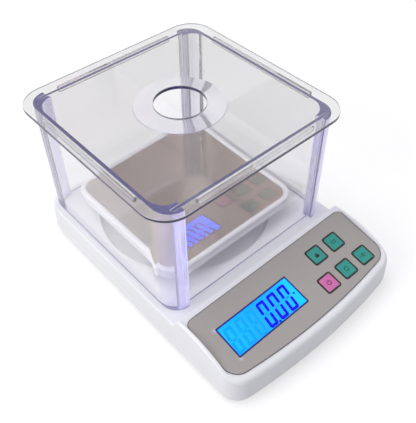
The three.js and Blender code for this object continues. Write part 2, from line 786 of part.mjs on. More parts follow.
function panFrame() {
  const rims = [
    () => ({ inset: panDraft, z: panBottom }),
    () => ({ inset: 0, z: panTop - panRimRound }),
    () => ({ inset: panRimRound / 3, z: panTop - panRimRound / 3 }),
    () => ({ inset: panRimRound, z: panTop }),
    () => ({ inset: panRimWidth - panRimRound, z: panTop }),
    () => ({ inset: panRimWidth, z: panTop - panRimRound / 2 }),
    () => ({ inset: panRimWidth, z: recessFloor }),
  ];
  const outer = toSolid(loft(panOutline, rims));
  const underInset = panRimWidth + panDraft;
  const under = [panBottom - overrun, recessFloor - panWall].map((z) => () => ({ inset: underInset, z }));
  const hollow = toSolid(loft(panOutline, under));
  const rib = box([-spiderSpan / 2, -panWall / 2, panBottom],
    [spiderSpan / 2, panWall / 2, recessFloor - panWall / 2]);
  const ribs = [Math.PI / 4, -Math.PI / 4].map((turn) => toSolid(rib.clone().rotateZ(turn)));
  return toGeometry(addAll(outer.subtract(hollow), ribs));
}

place('pan_frame', panFrame(), whitePlastic());
place('pan_plate', loft(panOutline, [
  () => ({ inset: panRimWidth + gap, z: recessFloor + gap }),
  () => ({ inset: panRimWidth + gap, z: plateTop - plateEdge }),
  () => ({ inset: panRimWidth + gap + plateEdge, z: plateTop }),
]), steel());

// Draft shield shells: a side wall with a thick round corner at each end. Each corner ends in a channel
// that grips a pane.
function shellShape(side) {
  const shape = new THREE.Shape();
  const wallX = shieldWidth / 2;
  const lipY = shieldDepth / 2;
  const mouthX = wallX - shieldCorner;
  const grooveOut = paneHalf + gap;
  const grooveIn = paneHalf - paneThickness - gap;
  const innerY = grooveIn - innerLip;
  const innerX = wallX - sideWall;
  const arc = (centreX, centreY, radius, from, to) => {
    for (let step = 0; step <= 6; step += 1) {
      const angle = from + (to - from) * step / 6;
      shape.lineTo(side * (centreX + radius * Math.cos(angle)), centreY + radius * Math.sin(angle));
    }
  };
  shape.moveTo(side * wallX, 0);
  arc(mouthX, lipY - shieldCorner, shieldCorner, 0, Math.PI / 2);
  shape.lineTo(side * mouthX, grooveOut);
  shape.lineTo(side * (mouthX + channelDepth), grooveOut);
  shape.lineTo(side * (mouthX + channelDepth), grooveIn);
  shape.lineTo(side * mouthX, grooveIn);
  shape.lineTo(side * mouthX, innerY);
  arc(innerX - innerCorner, innerY - innerCorner, innerCorner, Math.PI / 2, 0);
  arc(innerX - innerCorner, innerCorner - innerY, innerCorner, 0, -Math.PI / 2);
  shape.lineTo(side * mouthX, -innerY);
  shape.lineTo(side * mouthX, -grooveIn);
  shape.lineTo(side * (mouthX + channelDepth), -grooveIn);
  shape.lineTo(side * (mouthX + channelDepth), -grooveOut);
  shape.lineTo(side * mouthX, -grooveOut);
  arc(mouthX, shieldCorner - lipY, shieldCorner, -Math.PI / 2, 0);
  return shape;
}

const shieldTop = shieldBottom + shieldHeight;
place('shield_shell_left', slab(shellShape(-1), shieldBottom, shieldTop), clearPlastic());
place('shield_shell_right', slab(shellShape(1), shieldBottom, shieldTop), clearPlastic());

const paneReach = shieldWidth / 2 - shieldCorner + channelDepth - gap;
for (const [name, facing] of [['shield_pane_front', -1], ['shield_pane_rear', 1]]) {
  const low = Math.min(facing * paneHalf, facing * (paneHalf - paneThickness));
  const pane = box([-paneReach, low, shieldBottom], [paneReach, low + paneThickness, shieldTop]);
  place(name, pane, clearPlastic());
}

// Lid: a rounded square sheet with a hole, a frosted ring round it and a locating rib outside each wall.
// The ring steps up from the sheet and rises evenly to the hole, and the sheet's underside rises with it.
function lid() {
  const lidTop = lidBottom + lidThickness;
  const ringEdge = lidTop + lidRingHeight;
  const flare = (lidRingRadius - lidHoleRadius) / lidRingRise;
  const cone = (edge, bottom) => toSolid(disc(0, 0, bottom, edge + lidRingRise + overrun,
    lidRingRadius + flare * (edge - bottom), lidHoleRadius - flare * overrun));
  const sheet = toSolid(loft(squareOutline(lidHalf, lidCorner), [
    () => ({ inset: lidEdge, z: lidBottom }),
    () => ({ inset: 0, z: lidBottom + lidEdge }),
    () => ({ inset: 0, z: lidTop - lidEdge }),
    () => ({ inset: lidEdge, z: lidTop }),
  ]));
  const ring = toSolid(disc(0, 0, lidTop - lidEdge, ringEdge + lidRingRise + overrun, lidRingRadius))
    .intersect(cone(ringEdge, lidTop - lidEdge));
  const rib = (halfX, halfY, x, y) => box([x - halfX, y - halfY, lidBottom - lidRibHeight],
    [x + halfX, y + halfY, lidBottom + lidEdge]);
  const sideX = shieldWidth / 2 + lidRibPlay + lidRibWidth / 2;
  const paneY = paneHalf + lidRibPlay + lidRibWidth / 2;
  const ribs = [
    rib(lidRibWidth / 2, lidRibLength / 2, sideX, 0), rib(lidRibWidth / 2, lidRibLength / 2, -sideX, 0),
    rib(lidRibLength / 2, lidRibWidth / 2, 0, paneY), rib(lidRibLength / 2, lidRibWidth / 2, 0, -paneY),
  ];
  const hole = toSolid(disc(0, 0, lidBottom - overrun, ringEdge + lidRingRise + 2 * overrun, lidHoleRadius));
  const whole = addAll(sheet, [ring, ...ribs.map(toSolid)]);
  return toGeometry(cutAll(whole, [cone(lidBottom, lidBottom - overrun), hole]));
}

place('lid', lid(), clearPlastic());

// Panel overlay, display window and keys
const panelShape = (() => {
  const outline = bowedOutline({
    half: overlayHalf,
    rear: -overlayMargin,
    front: overlayMargin + overlayLength,
    rearRound: overlayRearCorner,
    frontRound: overlayFrontCorner,
    bow: frontBow,
    levels: [],
  });
  const right = outline.map((point) => new THREE.Vector2(point.x, point.y));
  const left = right.slice(1, -1).reverse().map((point) => new THREE.Vector2(-point.x, point.y));
  const shape = new THREE.Shape(right.concat(left));
  shape.holes.push(roundedRect(windowWidth / 2, windowHeight / 2, keyCorner / 2, windowX, windowY));
  for (const { x, y } of keys) {
    shape.holes.push(roundedRect(keySide / 2 + gap, keySide / 2 + gap, keyCorner, x, y));
  }
  return shape;
})();

place('panel_overlay', onPanel(slab(panelShape, overlayBottom, overlayTop, 3)), greyFilm());
place('display_window', onPanel(slab(roundedRect(windowWidth / 2 - gap, windowHeight / 2 - gap, keyCorner / 2,
  windowX, windowY), overlayBottom, overlayTop, 3)), clearPlastic());

for (const { name, x, y, material } of keys) {
  const cap = toSolid(slab(roundedRect(keySide / 2, keySide / 2, keyCorner, x, y), keyBottom, keyTop, 3));
  const stem = toSolid(post(x, y, stemBottom, keyTop - keyThickness / 2, stemRadius));
  place(name, onPanel(toGeometry(cap.add(stem))), material());
}

// Main board, its screws, the key switches and the controller chip
function mainBoard() {
  const board = box([-boardHalf, boardFrontY, boardBottom], [boardHalf, -boardRear, boardTop]);
  const holes = boardBossPlaces.map(([x, y]) => post(x, y, boardBottom - overrun, boardTop + overrun,
    boardScrewRadius + gap));
  return onPanel(toGeometry(cutAll(toSolid(board), holes.map(toSolid))));
}

place('main_board', mainBoard(), boardGreen());
boardBossPlaces.forEach(([x, y], index) => {
  const turned = screw(boardBottom - gap - boardScrewHeadHeight, boardTop + boardScrewLength - boardThickness,
    boardScrewRadius, boardScrewHead, boardScrewHeadHeight);
  place(`board_screw_${index + 1}`, onPanel(turned.translate(x, y, 0)), zincSteel());
});

for (const { name, x, y } of keys) {
  const bodyOfSwitch = box([x - switchSide / 2, y - switchSide / 2, boardTop + gap],
    [x + switchSide / 2, y + switchSide / 2, switchTop]);
  const plunger = post(x, y, switchTop - gap, plungerTop, plungerRadius);
  place(name.replace('key_', 'switch_'), onPanel(toGeometry(toSolid(bodyOfSwitch).add(toSolid(plunger)))),
    blackPlastic());
}

place('controller_chip', onPanel(box(
  [chipOffset - chipSide / 2, frontRowY - chipSide / 2, boardBottom - gap - chipHeight],
  [chipOffset + chipSide / 2, frontRowY + chipSide / 2, boardBottom - gap],
)), blackPlastic());

// Display: glass over a light guide in a frame, with a connector strip under the glass's rear edge
const glassHalfX = windowWidth / 2 + glassBorder;
const glassHalfY = windowHeight / 2 + glassBorder;

function around(halfX, halfY, bottom, top) {
  return box([windowX - halfX, windowY - halfY, bottom], [windowX + halfX, windowY + halfY, top]);
}

place('display_glass', onPanel(around(glassHalfX, glassHalfY, glassBottom, glassTop)), displayGlass());
place('display_light_guide', onPanel(box(
  [windowX - glassHalfX, windowY - glassHalfY, boardTop + gap],
  [windowX + glassHalfX, windowY + glassHalfY - stripWidth - gap, guideTop],
)), guidePlastic());
place('display_connector', onPanel(box(
  [windowX - glassHalfX, windowY + glassHalfY - stripWidth, boardTop + gap],
  [windowX + glassHalfX, windowY + glassHalfY, guideTop],
)), blackRubber());
const frameInner = toSolid(around(glassHalfX + gap, glassHalfY + gap, boardTop, glassTop + overrun));
const frameOuter = toSolid(around(glassHalfX + gap + frameWall, glassHalfY + gap + frameWall, boardTop + gap,
  glassTop));
place('display_frame', onPanel(toGeometry(frameOuter.subtract(frameInner))), blackPlastic());

// Battery cells, side by side along Y and turned opposite ways
function cell(x, facing) {
  const end = cellLength / 2;
  const profile = [
    new THREE.Vector2(0, -end),
    new THREE.Vector2(cellDiameter / 2 - plateEdge, -end),
    new THREE.Vector2(cellDiameter / 2, plateEdge - end),
    new THREE.Vector2(cellDiameter / 2, end - plateEdge),
    new THREE.Vector2(cellDiameter / 2 - plateEdge, end),
    new THREE.Vector2(cellTipRadius, end),
    new THREE.Vector2(cellTipRadius, end + cellTipLength),
    new THREE.Vector2(0, end + cellTipLength),
  ];
  const turned = new THREE.LatheGeometry(profile, roundSteps);
  if (facing < 0) turned.rotateX(Math.PI);
  return turned.translate(x, 0, cellsBottom + cellDiameter / 2);
}

place('battery_cell_inner', cell(cellXs[0], 1), cellSleeve());
place('battery_cell_outer', cell(cellXs[1], -1), cellSleeve());

// Contacts: a plate with a raised dimple at each positive tip and a cone at each negative end
function contactPlate(xs, facing) {
  const low = Math.min(facing * plateY, facing * (plateY + contactThickness));
  return toSolid(box([xs[0] - contactWidth / 2, low, contactZ - contactWidth / 2],
    [xs[xs.length - 1] + contactWidth / 2, low + contactThickness, contactZ + contactWidth / 2]));
}

function contactCone(x, facing) {
  const length = plateY - cellLength / 2 - gap;
  const cone = new THREE.CylinderGeometry(cellTipRadius, contactWidth / 2 - gap, length, smallSteps);
  if (facing > 0) cone.rotateX(Math.PI);
  return toSolid(cone.translate(x, facing * (plateY - length / 2), contactZ));
}

function contactTip(x, facing) {
  const length = plateY - cellLength / 2 - cellTipLength - gap;
  const tip = new THREE.CylinderGeometry(cellTipRadius, cellTipRadius, length, smallSteps);
  return toSolid(tip.translate(x, facing * (plateY - length / 2), contactZ));
}

const bridge = addAll(contactPlate(cellXs, 1), [contactTip(cellXs[0], 1), contactCone(cellXs[1], 1)]);
const negative = contactPlate([cellXs[0]], -1).add(contactCone(cellXs[0], -1));
const positive = contactPlate([cellXs[1]], -1).add(contactTip(cellXs[1], -1));
place('contact_bridge', toGeometry(bridge), zincSteel());
place('contact_negative', toGeometry(negative), zincSteel());
place('contact_positive', toGeometry(positive), zincSteel());

// Battery door: a plate in a seat in the floor, hooked at its outer edge, with finger ribs at the other
function batteryDoor() {
  const plate = slab(roundedRect(doorHalfX, doorHalfY, tubWall, tubOffset, 0), floorClearance,
    floorClearance + doorThickness, 3);
  const ribs = [];
  for (let index = 1; index <= doorRibCount; index += 1) {
    const x = tubOffset - doorHalfX + index * doorRibPitch;
    ribs.push(box([x - doorRibWidth / 2, -doorHalfY / 3, floorClearance - doorRibHeight],
      [x + doorRibWidth / 2, doorHalfY / 3, floorClearance + gap]));
  }
  return toGeometry(addAll(toSolid(plate), ribs.map(toSolid)));
}

place('battery_door', batteryDoor(), whitePlastic());

// Leads: one from the load cell and one from the battery contacts, laid along the floor to the main board
function onBoard(x, setback) {
  const end = new THREE.Vector3(x, -boardRear - setback, boardBottom - gap).applyMatrix4(panelFrame);
  return [end.x, end.y, end.z];
}

const leadFloorZ = floorTop + 2 * gap + leadRadius;
const cellLeadEnd = onBoard(leadBoardX, leadBoardSetback);
place('load_cell_lead', tube([
  [barWidth / 2 + gap, barLobePitch, barBottom + barHeight / 2],
  [barWidth / 2 + leadDrop / 2, barLobePitch, barBottom + barHeight / 2],
  [leadRunX, barLobePitch - leadDrop, barBottom],
  [leadRunX, barLobePitch - 3 * leadDrop, leadFloorZ],
  [leadRunX, barLobePitch - 4 * leadDrop, leadFloorZ],
  [leadRunX, ridgeFootY + leadDrop, leadFloorZ],
  [leadRunX, ridgeFootY, leadFloorZ],
  [cellLeadEnd[0], cellLeadEnd[1], (leadFloorZ + cellLeadEnd[2]) / 2],
  cellLeadEnd,
], leadRadius), leadSheath());

const batteryLeadEnd = onBoard(cellXs[0], leadBoardSetback);
place('battery_lead', tube([
  [cellXs[0], -plateY - contactThickness - gap, contactZ],
  [cellXs[0], -plateY - contactThickness - leadDrop, contactZ],
  [cellXs[0], -plateY - 3 * leadDrop, leadFloorZ],
  [cellXs[0], -plateY - 4 * leadDrop, leadFloorZ],
  [cellXs[0], batteryLeadEnd[1] + 3 * leadDrop, leadFloorZ],
  [cellXs[0], batteryLeadEnd[1] + 2 * leadDrop, leadFloorZ],
  [batteryLeadEnd[0], batteryLeadEnd[1], (leadFloorZ + batteryLeadEnd[2]) / 2],
  batteryLeadEnd,
], leadRadius), leadSheath());

export default balance;
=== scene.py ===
import json
import math

import bmesh
import bpy
from mathutils import Matrix, Vector


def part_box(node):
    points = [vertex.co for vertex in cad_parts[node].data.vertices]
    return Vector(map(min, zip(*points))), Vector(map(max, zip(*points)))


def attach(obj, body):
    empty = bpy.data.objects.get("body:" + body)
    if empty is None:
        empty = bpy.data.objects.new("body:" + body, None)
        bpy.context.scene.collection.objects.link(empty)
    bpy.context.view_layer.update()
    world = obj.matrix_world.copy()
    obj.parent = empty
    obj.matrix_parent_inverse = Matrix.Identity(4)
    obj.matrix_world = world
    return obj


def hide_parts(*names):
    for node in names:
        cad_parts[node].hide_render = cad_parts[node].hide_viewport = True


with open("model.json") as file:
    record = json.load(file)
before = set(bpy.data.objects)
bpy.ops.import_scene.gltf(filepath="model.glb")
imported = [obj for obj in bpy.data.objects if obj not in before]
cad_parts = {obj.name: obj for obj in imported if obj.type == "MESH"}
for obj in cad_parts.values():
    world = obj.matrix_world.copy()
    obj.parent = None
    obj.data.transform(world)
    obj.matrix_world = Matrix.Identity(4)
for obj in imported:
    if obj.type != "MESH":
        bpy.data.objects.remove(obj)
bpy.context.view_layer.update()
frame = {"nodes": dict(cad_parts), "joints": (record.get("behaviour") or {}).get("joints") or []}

nodes = frame["nodes"]
mm = 0.001


# Camera. It stands in front of the balance, to the left of it and well above, and looks down at the pan
# through the lid.
camera_place = (-0.23009, -0.25756, 0.41134)
camera_turn = (43.699, 0.604, -41.682)
camera_lens = 52.02
camera_near = 0.01


def link(data, name):
    """A new object of the scene for a mesh, a curve, a lamp or a camera."""
    made = bpy.data.objects.new(name, data)
    bpy.context.scene.collection.objects.link(made)
    return made


camera = link(bpy.data.cameras.new("camera"), "camera")
camera.data.lens = camera_lens
camera.data.clip_start = camera_near
camera.location = camera_place
camera.rotation_euler = [math.radians(angle) for angle in camera_turn]
bpy.context.scene.camera = camera
bpy.context.scene.view_settings.view_transform = "Standard"


# Studio. A white floor that keeps a soft shadow, a surround that is white along the horizon, grey
# overhead and dark behind the camera, a narrow strip light behind the balance, and four large soft lamps.
def fresh_tree(owner):
    """The emptied node tree of a material or of the world."""
    owner.use_nodes = True
    owner.node_tree.nodes.clear()
    return owner.node_tree


def add(tree, kind, *ordered, **named):
    """A new node. Its sockets take plain values, outputs, or nodes, which stand for their first output.

    ordered fills the sockets in turn. A named one with a capital is a socket, any other a setting.
    """
    node = tree.nodes.new(kind)
    given = dict(enumerate(ordered))
    for name, value in named.items():
        if name[0].isupper():
            given[name.replace("_", " ")] = value
        else:
            setattr(node, name, value)
    for socket, value in given.items():
        if isinstance(value, bpy.types.Node):
            value = value.outputs[0]
        if isinstance(value, bpy.types.NodeSocket):
            tree.links.new(value, node.inputs[socket])
        else:
            node.inputs[socket].default_value = value
    return node


def maths(tree, operation, first, second=0.0):
    """One step of arithmetic on an output and on a second output or a plain number."""
    return add(tree, "ShaderNodeMath", first, second, operation=operation)


def spread(tree, factor, low, high, start=0.0, full=1.0):
    """The factor from start to full brought to the range from low to high."""
    return add(tree, "ShaderNodeMapRange", Value=factor, From_Min=start, From_Max=full,
               To_Min=low, To_Max=high)


def ramp(tree, factor, *stops, blending="LINEAR"):
    """A colour with its opacity for each factor, from stops of a position and a colour."""
    node = add(tree, "ShaderNodeValToRGB", Fac=factor)
    elements = node.color_ramp.elements
    node.color_ramp.interpolation = blending
    while len(elements) < len(stops):
        elements.new(0.5)
    for element, (position, color) in zip(elements, stops):
        element.position = position
        element.color = color
    return node


def seen_directly(tree):
    """1 where a camera, glossy or transmission ray arrives, and 0 where light is gathered."""
    rays = add(tree, "ShaderNodeLightPath").outputs
    mirrored = maths(tree, "MAXIMUM", rays["Is Camera Ray"], rays["Is Glossy Ray"])
    return maths(tree, "MAXIMUM", mirrored, rays["Is Transmission Ray"])


def new_material(name):
    """A material and its emptied node tree."""
    material = bpy.data.materials.new(name)
    return material, fresh_tree(material)


floor_half = 4.0
floor_white = (0.5, 0.5, 0.5, 1)
floor_glow = 0.56
floor_corners = [(x * floor_half, y * floor_half, 0) for x, y in ((-1, -1), (1, -1), (1, 1), (-1, 1))]
floor = link(bpy.data.meshes.new("floor"), "floor")
floor.data.from_pydata(floor_corners, [], [(0, 1, 2, 3)])
floor_paper, tree = new_material("floor paper")
paper = add(tree, "ShaderNodeBsdfDiffuse", Color=floor_white)
glow = add(tree, "ShaderNodeEmission", Strength=maths(tree, "MULTIPLY", seen_directly(tree), floor_glow))
add(tree, "ShaderNodeOutputMaterial", Surface=add(tree, "ShaderNodeAddShader", paper, glow))
floor.data.materials.append(floor_paper)

surround_light = (0.95, 0.95, 1.0, 1)
surround_strength = 0.44
horizon_white = (1, 1, 1, 1)
ceiling_grey = (0.34, 0.32, 0.305, 1)
horizon_end = 0.3
ceiling_start = 0.62
room_grey = (0.1, 0.1, 0.105, 1)
room_way = (-0.66, -0.75, 0)
room_span = (0.15, 0.75)
side_white = (0.8, 0.79, 0.76, 1)
side_way = (0.95, -0.1, 0.3)
side_span = (0.6, 0.74)
strip_across = (0.769, -0.639, 0)
strip_along = (0.639, 0.769, 0)
strip_span = (0.03, 0.012)
wall_foot = (0.1, 0.35)
world = bpy.data.worlds.new("studio")
bpy.context.scene.world = world
surround = fresh_tree(world)
looked_in = add(surround, "ShaderNodeTexCoord").outputs["Generated"]
height = add(surround, "ShaderNodeSeparateXYZ", looked_in).outputs["Z"]


def towards(way):
    """How far the direction that is looked in points along this way."""
    return add(surround, "ShaderNodeVectorMath", looked_in, way, operation="DOT_PRODUCT").outputs["Value"]


def patch(way, span):
    """1 where the direction points along this way and 0 away from it."""
    return spread(surround, towards(way), 0, 1, *span)


strip = maths(surround, "MULTIPLY",
              spread(surround, maths(surround, "ABSOLUTE", towards(strip_across)), 0, 1, *strip_span),
              spread(surround, towards(strip_along), 0, 1))
high_up = spread(surround, height, 0, 1, *wall_foot)
shown = ramp(surround, height, (horizon_end, horizon_white), (ceiling_start, ceiling_grey))
for color, factor in ((side_white, patch(side_way, side_span)), (horizon_white, strip),
                      (room_grey, patch(room_way, room_span))):
    shown = add(surround, "ShaderNodeMix", data_type="RGBA", A=shown, B=color,
                Factor=maths(surround, "MULTIPLY", factor, high_up)).outputs["Result"]
lighting = add(surround, "ShaderNodeBackground", surround_light, surround_strength)
backdrop = add(surround, "ShaderNodeBackground", shown)
add(surround, "ShaderNodeOutputWorld",
    add(surround, "ShaderNodeMixShader", seen_directly(surround), lighting, backdrop))


def soft_lamp(name, place, size, power, color=(1, 1, 1)):
    """A round lamp that looks at the balance."""
    lamp = link(bpy.data.lights.new(name, "AREA"), name)
    lamp.data.shape = "DISK"
    lamp.data.size = size
    lamp.data.energy = power
    lamp.data.color = color
    lamp.location = place
    lamp.rotation_euler = (-Vector(place)).to_track_quat("-Z", "Y").to_euler()


soft_lamp("left lamp", (-1.6, 0.2, 1.0), size=1.2, power=16)
soft_lamp("top lamp", (-0.4, 0.6, 2.1), size=1.4, power=15)
soft_lamp("right lamp", (1.7, 0.9, 0.6), size=1.0, power=4)
soft_lamp("front lamp", (0.8, -1.2, 1.4), size=1.0, power=4, color=(0.85, 0.85, 1.0))


# Upper housing. One white moulded shell: the deck with its round well, the ridge, the panel's bed and
# the side rims. It comes out of the mould with soft edges and a fine satin grain.
moulded_edge = 0.5 * mm
weld = 0.002 * mm
flat_angle = math.radians(0.4)
round_angle = math.radians(34)
full_weight = 100


def weld_points(work):
    bmesh.ops.remove_doubles(work, verts=work.verts, dist=weld)


def join_flat_faces(work):
    bmesh.ops.dissolve_limit(work, angle_limit=flat_angle, verts=work.verts, edges=work.edges,
                             use_dissolve_boundaries=False)


def turn_faces_out(work):
    bmesh.ops.recalc_face_normals(work, faces=work.faces)


def reworked(mesh, *steps):
    """The mesh after these steps on its faces, with smooth shading."""
    work = bmesh.new()
    work.from_mesh(mesh)
    for step in steps:
        step(work)
    for face in work.faces:
        face.smooth = True
    work.to_mesh(mesh)
    work.free()
    return mesh


def keep_broad_faces_flat(piece):
    """Lets the broad faces rule the shading, so that they look flat beside their rounded edges."""
    shading = piece.modifiers.new("shading", "WEIGHTED_NORMAL")
    shading.keep_sharp = True
    shading.weight = full_weight
    return piece


def soften(piece, width, segments=2):
    """Rounds every sharp edge."""
    bevel = piece.modifiers.new("edges", "BEVEL")
    bevel.width = width
    bevel.segments = segments
    bevel.limit_method = "ANGLE"
    bevel.angle_limit = round_angle
    bevel.harden_normals = True
    return keep_broad_faces_flat(piece)


def finish_piece(piece, body, materials, replaces=(), choice=None):
    """Gives a piece its materials, with the one that choice numbers on each face, and its body."""
    piece.data.materials.clear()
    for material in materials:
        piece.data.materials.append(material)
    if choice:
        for face in piece.data.polygons:
            face.material_index = choice(face)
    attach(piece, body)
    if replaces:
        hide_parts(*replaces)


def softened_part(node, name, edge, body, material):
    """A CAD part with its faces joined and its edges rounded, in the part's place."""
    mesh = nodes[node].data.copy()
    mesh.materials.clear()
    piece = link(reworked(mesh, weld_points, join_flat_faces), name)
    finish_piece(soften(piece, edge), body, [material], [node])


def principled(tree, **values):
    """The surface of a material, with these values and links on its named sockets."""
    shader = add(tree, "ShaderNodeBsdfPrincipled", **values)
    add(tree, "ShaderNodeOutputMaterial", Surface=shader)


def place_of(tree, scale=(1, 1, 1), shift=(0, 0, 0)):
    """Object coordinates in metres, moved and stretched."""
    where = add(tree, "ShaderNodeTexCoord").outputs["Object"]
    return add(tree, "ShaderNodeMapping", where, Location=shift, Scale=scale)


def noise(tree, scale, detail=2, rough=0.5, stretch=(1, 1, 1)):
    """An irregular pattern, finer the larger its scale."""
    return add(tree, "ShaderNodeTexNoise", Vector=place_of(tree, stretch), Scale=scale, Detail=detail,
               Roughness=rough)


def shades(tree, factor, dark, light, low=0.3, high=0.7):
    """A colour between dark and light as the factor goes from low to high."""
    return ramp(tree, factor, (low, (*dark, 1)), (high, (*light, 1)))


def grain(tree, factor, strength, depth):
    """A fine relief for a shader's Normal socket."""
    return add(tree, "ShaderNodeBump", Height=factor, Strength=strength, Distance=depth)


def moulded_plastic(name, dark, light, roughness, grain_scale=2600, grain_depth=0.03 * mm):
    """Moulded plastic: a faint cloudiness of colour, uneven gloss and a fine grain from the mould."""
    material, tree = new_material(name)
    clouds = noise(tree, scale=9, detail=3)
    principled(tree, Base_Color=shades(tree, clouds, dark, light, low=0.35, high=0.65),
               Roughness=spread(tree, noise(tree, scale=60, detail=4), *roughness),
               Normal=grain(tree, noise(tree, grain_scale), strength=0.12, depth=grain_depth))
    return material


moulded_white = moulded_plastic("moulded white", (0.83, 0.83, 0.86), (0.87, 0.87, 0.9), (0.28, 0.4))
softened_part("upper_housing", "upper_housing_shell", moulded_edge, "base", moulded_white)


# Lower housing. The white moulded floor tray that closes the shell from below, with the recesses for the
# feet and the screws, the load cell's seat and the tub for the two cells.
softened_part("lower_housing", "lower_housing_tray", moulded_edge / 2, "base",
              moulded_white)


# Feet. Four turned rubber pads, glued into round recesses in the floor tray. A shallow ring groove in
# each sole lets it grip the bench.
foot_names = ["foot_rear_left", "foot_rear_right", "foot_front_left", "foot_front_right"]
foot_sides = 48
groove_share = 0.62
groove_half = 0.6 * mm
groove_depth = 0.5 * mm
foot_edge = 0.8 * mm
foot_edge_steps = 5


def middle_of(node):
    """Middle of a node's box, seen from above."""
    low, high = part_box(node)
    return (low.x + high.x) / 2, (low.y + high.y) / 2


def half_of(node):
    """Half the width of a node's box."""
    low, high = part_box(node)
    return (high.x - low.x) / 2


def round_over(radius, top, steps):
    """Levels of an outer edge rounded over at the top: how far each is drawn in, and its height."""
    angles = [step / steps * math.pi / 2 for step in range(steps + 1)]
    return [(radius - radius * math.cos(angle), top - radius + radius * math.sin(angle))
            for angle in angles]


def arc(centre, radius, start, end, steps):
    """Points along an arc between two angles."""
    angles = [start + (end - start) * step / steps for step in range(steps + 1)]
    return [(centre[0] + radius * math.cos(angle), centre[1] + radius * math.sin(angle))
            for angle in angles]


def body_of_rings(name, rings, closed=False):
    """A closed skin through rings of equally many points. It ends in flat faces or closes on itself."""
    count = len(rings[0])
    vertices = [tuple(point) for ring in rings for point in ring]
    faces = []
    for ring in range(len(rings) if closed else len(rings) - 1):
        start = ring * count
        after = (ring + 1) % len(rings) * count
        for step in range(count):
            following = (step + 1) % count
            faces.append((start + step, start + following, after + following, after + step))
    if not closed:
        faces.append(tuple(range(count)))
        faces.append(tuple(range(len(vertices) - count, len(vertices))))
    mesh = bpy.data.meshes.new(name)
    mesh.from_pydata(vertices, [], faces)
    return link(reworked(mesh, turn_faces_out), name)


def upright(outline, heights):
    """The same outline at several heights."""
    return [[(x, y, height) for x, y in outline] for height in heights]


def turned(name, profile, sides, centre=(0, 0)):
    """A round body about an upright axis, from a profile of radii and heights."""
    return body_of_rings(name, [[(*point, height) for point in arc(centre, radius, 0, math.tau, sides)[:-1]]
                                for radius, height in profile])


def sharp_by_angle(piece):
    """Smooth shading that breaks at sharp edges and keeps broad faces flat."""
    piece.data.set_sharp_from_angle(angle=round_angle)
    return keep_broad_faces_flat(piece)


def plain_mesh(piece, name):
    """The evaluated shape of a piece as an object of its own; the piece itself is removed."""
    view = bpy.context.evaluated_depsgraph_get()
    mesh = bpy.data.meshes.new_from_object(piece.evaluated_get(view))
    bpy.data.objects.remove(piece)
    mesh.name = name
    return link(mesh, name)


def shape_tree(name, **kinds):
    """A Geometry Nodes tree with an input of each of these kinds, and its inputs' outlets."""
    tree = bpy.data.node_groups.new(name, "GeometryNodeTree")
    new_socket = tree.interface.new_socket
    for socket, kind in kinds.items():
        new_socket(socket.replace("_", " "), in_out="INPUT", socket_type="NodeSocket" + kind)
    new_socket("Shape Made", in_out="OUTPUT", socket_type="NodeSocketGeometry")
    return tree, add(tree, "NodeGroupInput").outputs


def hand_out(tree, copies, finish):
    """Makes the copies real, gives them their material and ends the tree."""
    real = add(tree, "GeometryNodeRealizeInstances", copies)
    add(tree, "NodeGroupOutput", add(tree, "GeometryNodeSetMaterial", real, Material=finish))


def grown(name, points, tree, values, own_values=()):
    """The plain mesh that a tree makes on points, with values on its inputs and vectors on the points."""
    seeds = link(bpy.data.meshes.new(name), name + "_points")
    seeds.data.from_pydata(points, [], [])
    for own_name, vectors in own_values:
        row = seeds.data.attributes.new(own_name, "FLOAT_VECTOR", "POINT").data
        for item, vector in zip(row, vectors):
            item.vector = vector
    maker = seeds.modifiers.new("maker", "NODES")
    maker.node_group = tree
    for socket in tree.interface.items_tree:
        if socket.name in values:
            maker[socket.identifier] = values[socket.name]
    return plain_mesh(seeds, name)


def repeat_tree():
    """Copies of one shape on every point, turned and stretched as the point's own values say."""
    tree, given = shape_tree("copies on points", Points="Geometry", Shape="Object", Finish="Material")
    turn, stretch = [add(tree, "GeometryNodeInputNamedAttribute", data_type="FLOAT_VECTOR", Name=name)
                     for name in ("turn", "stretch")]
    shape = add(tree, "GeometryNodeObjectInfo", Object=given["Shape"])
    copies = add(tree, "GeometryNodeInstanceOnPoints", Points=given["Points"],
                 Instance=shape.outputs["Geometry"], Rotation=turn.outputs["Attribute"],
                 Scale=stretch.outputs["Attribute"])
    hand_out(tree, copies, given["Finish"])
    return tree


copies_on_points = repeat_tree()


def repeated(name, shape, places, material):
    """One mesh with a copy of the shape at each place: a point, a turn and a stretch. The shape goes."""
    points, turns, stretches = zip(*places)
    made = grown(name, points, copies_on_points, {"Shape": shape, "Finish": material},
                 [("turn", turns), ("stretch", stretches)])
    bpy.data.objects.remove(shape)
    return made


foot_radius = half_of(foot_names[0])
foot_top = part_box(foot_names[0])[1].z
groove = groove_share * foot_radius
foot_rounding = round_over(foot_edge, 0, foot_edge_steps)
foot_profile = (
    [(groove - 2 * groove_half, 0), (groove - groove_half, 0), (groove - groove_half / 2, groove_depth),
     (groove + groove_half / 2, groove_depth), (groove + groove_half, 0)]
    + [(foot_radius - inset, -drop) for inset, drop in foot_rounding[::-1]]
    + [(foot_radius, foot_top - foot_edge / 2), (foot_radius - foot_edge / 2, foot_top)])
rubber = moulded_plastic("foot rubber", (0.018, 0.018, 0.019), (0.032, 0.032, 0.034), (0.75, 0.9),
                         grain_scale=1400, grain_depth=0.06 * mm)
unturned = (0, 0, 0)
full_size = (1, 1, 1)
foot_places = [((*middle_of(foot), 0), unturned, full_size) for foot in foot_names]
feet = repeated("feet", turned("foot_shape", foot_profile, foot_sides), foot_places, rubber)
finish_piece(sharp_by_angle(feet), "base", [rubber], foot_names)


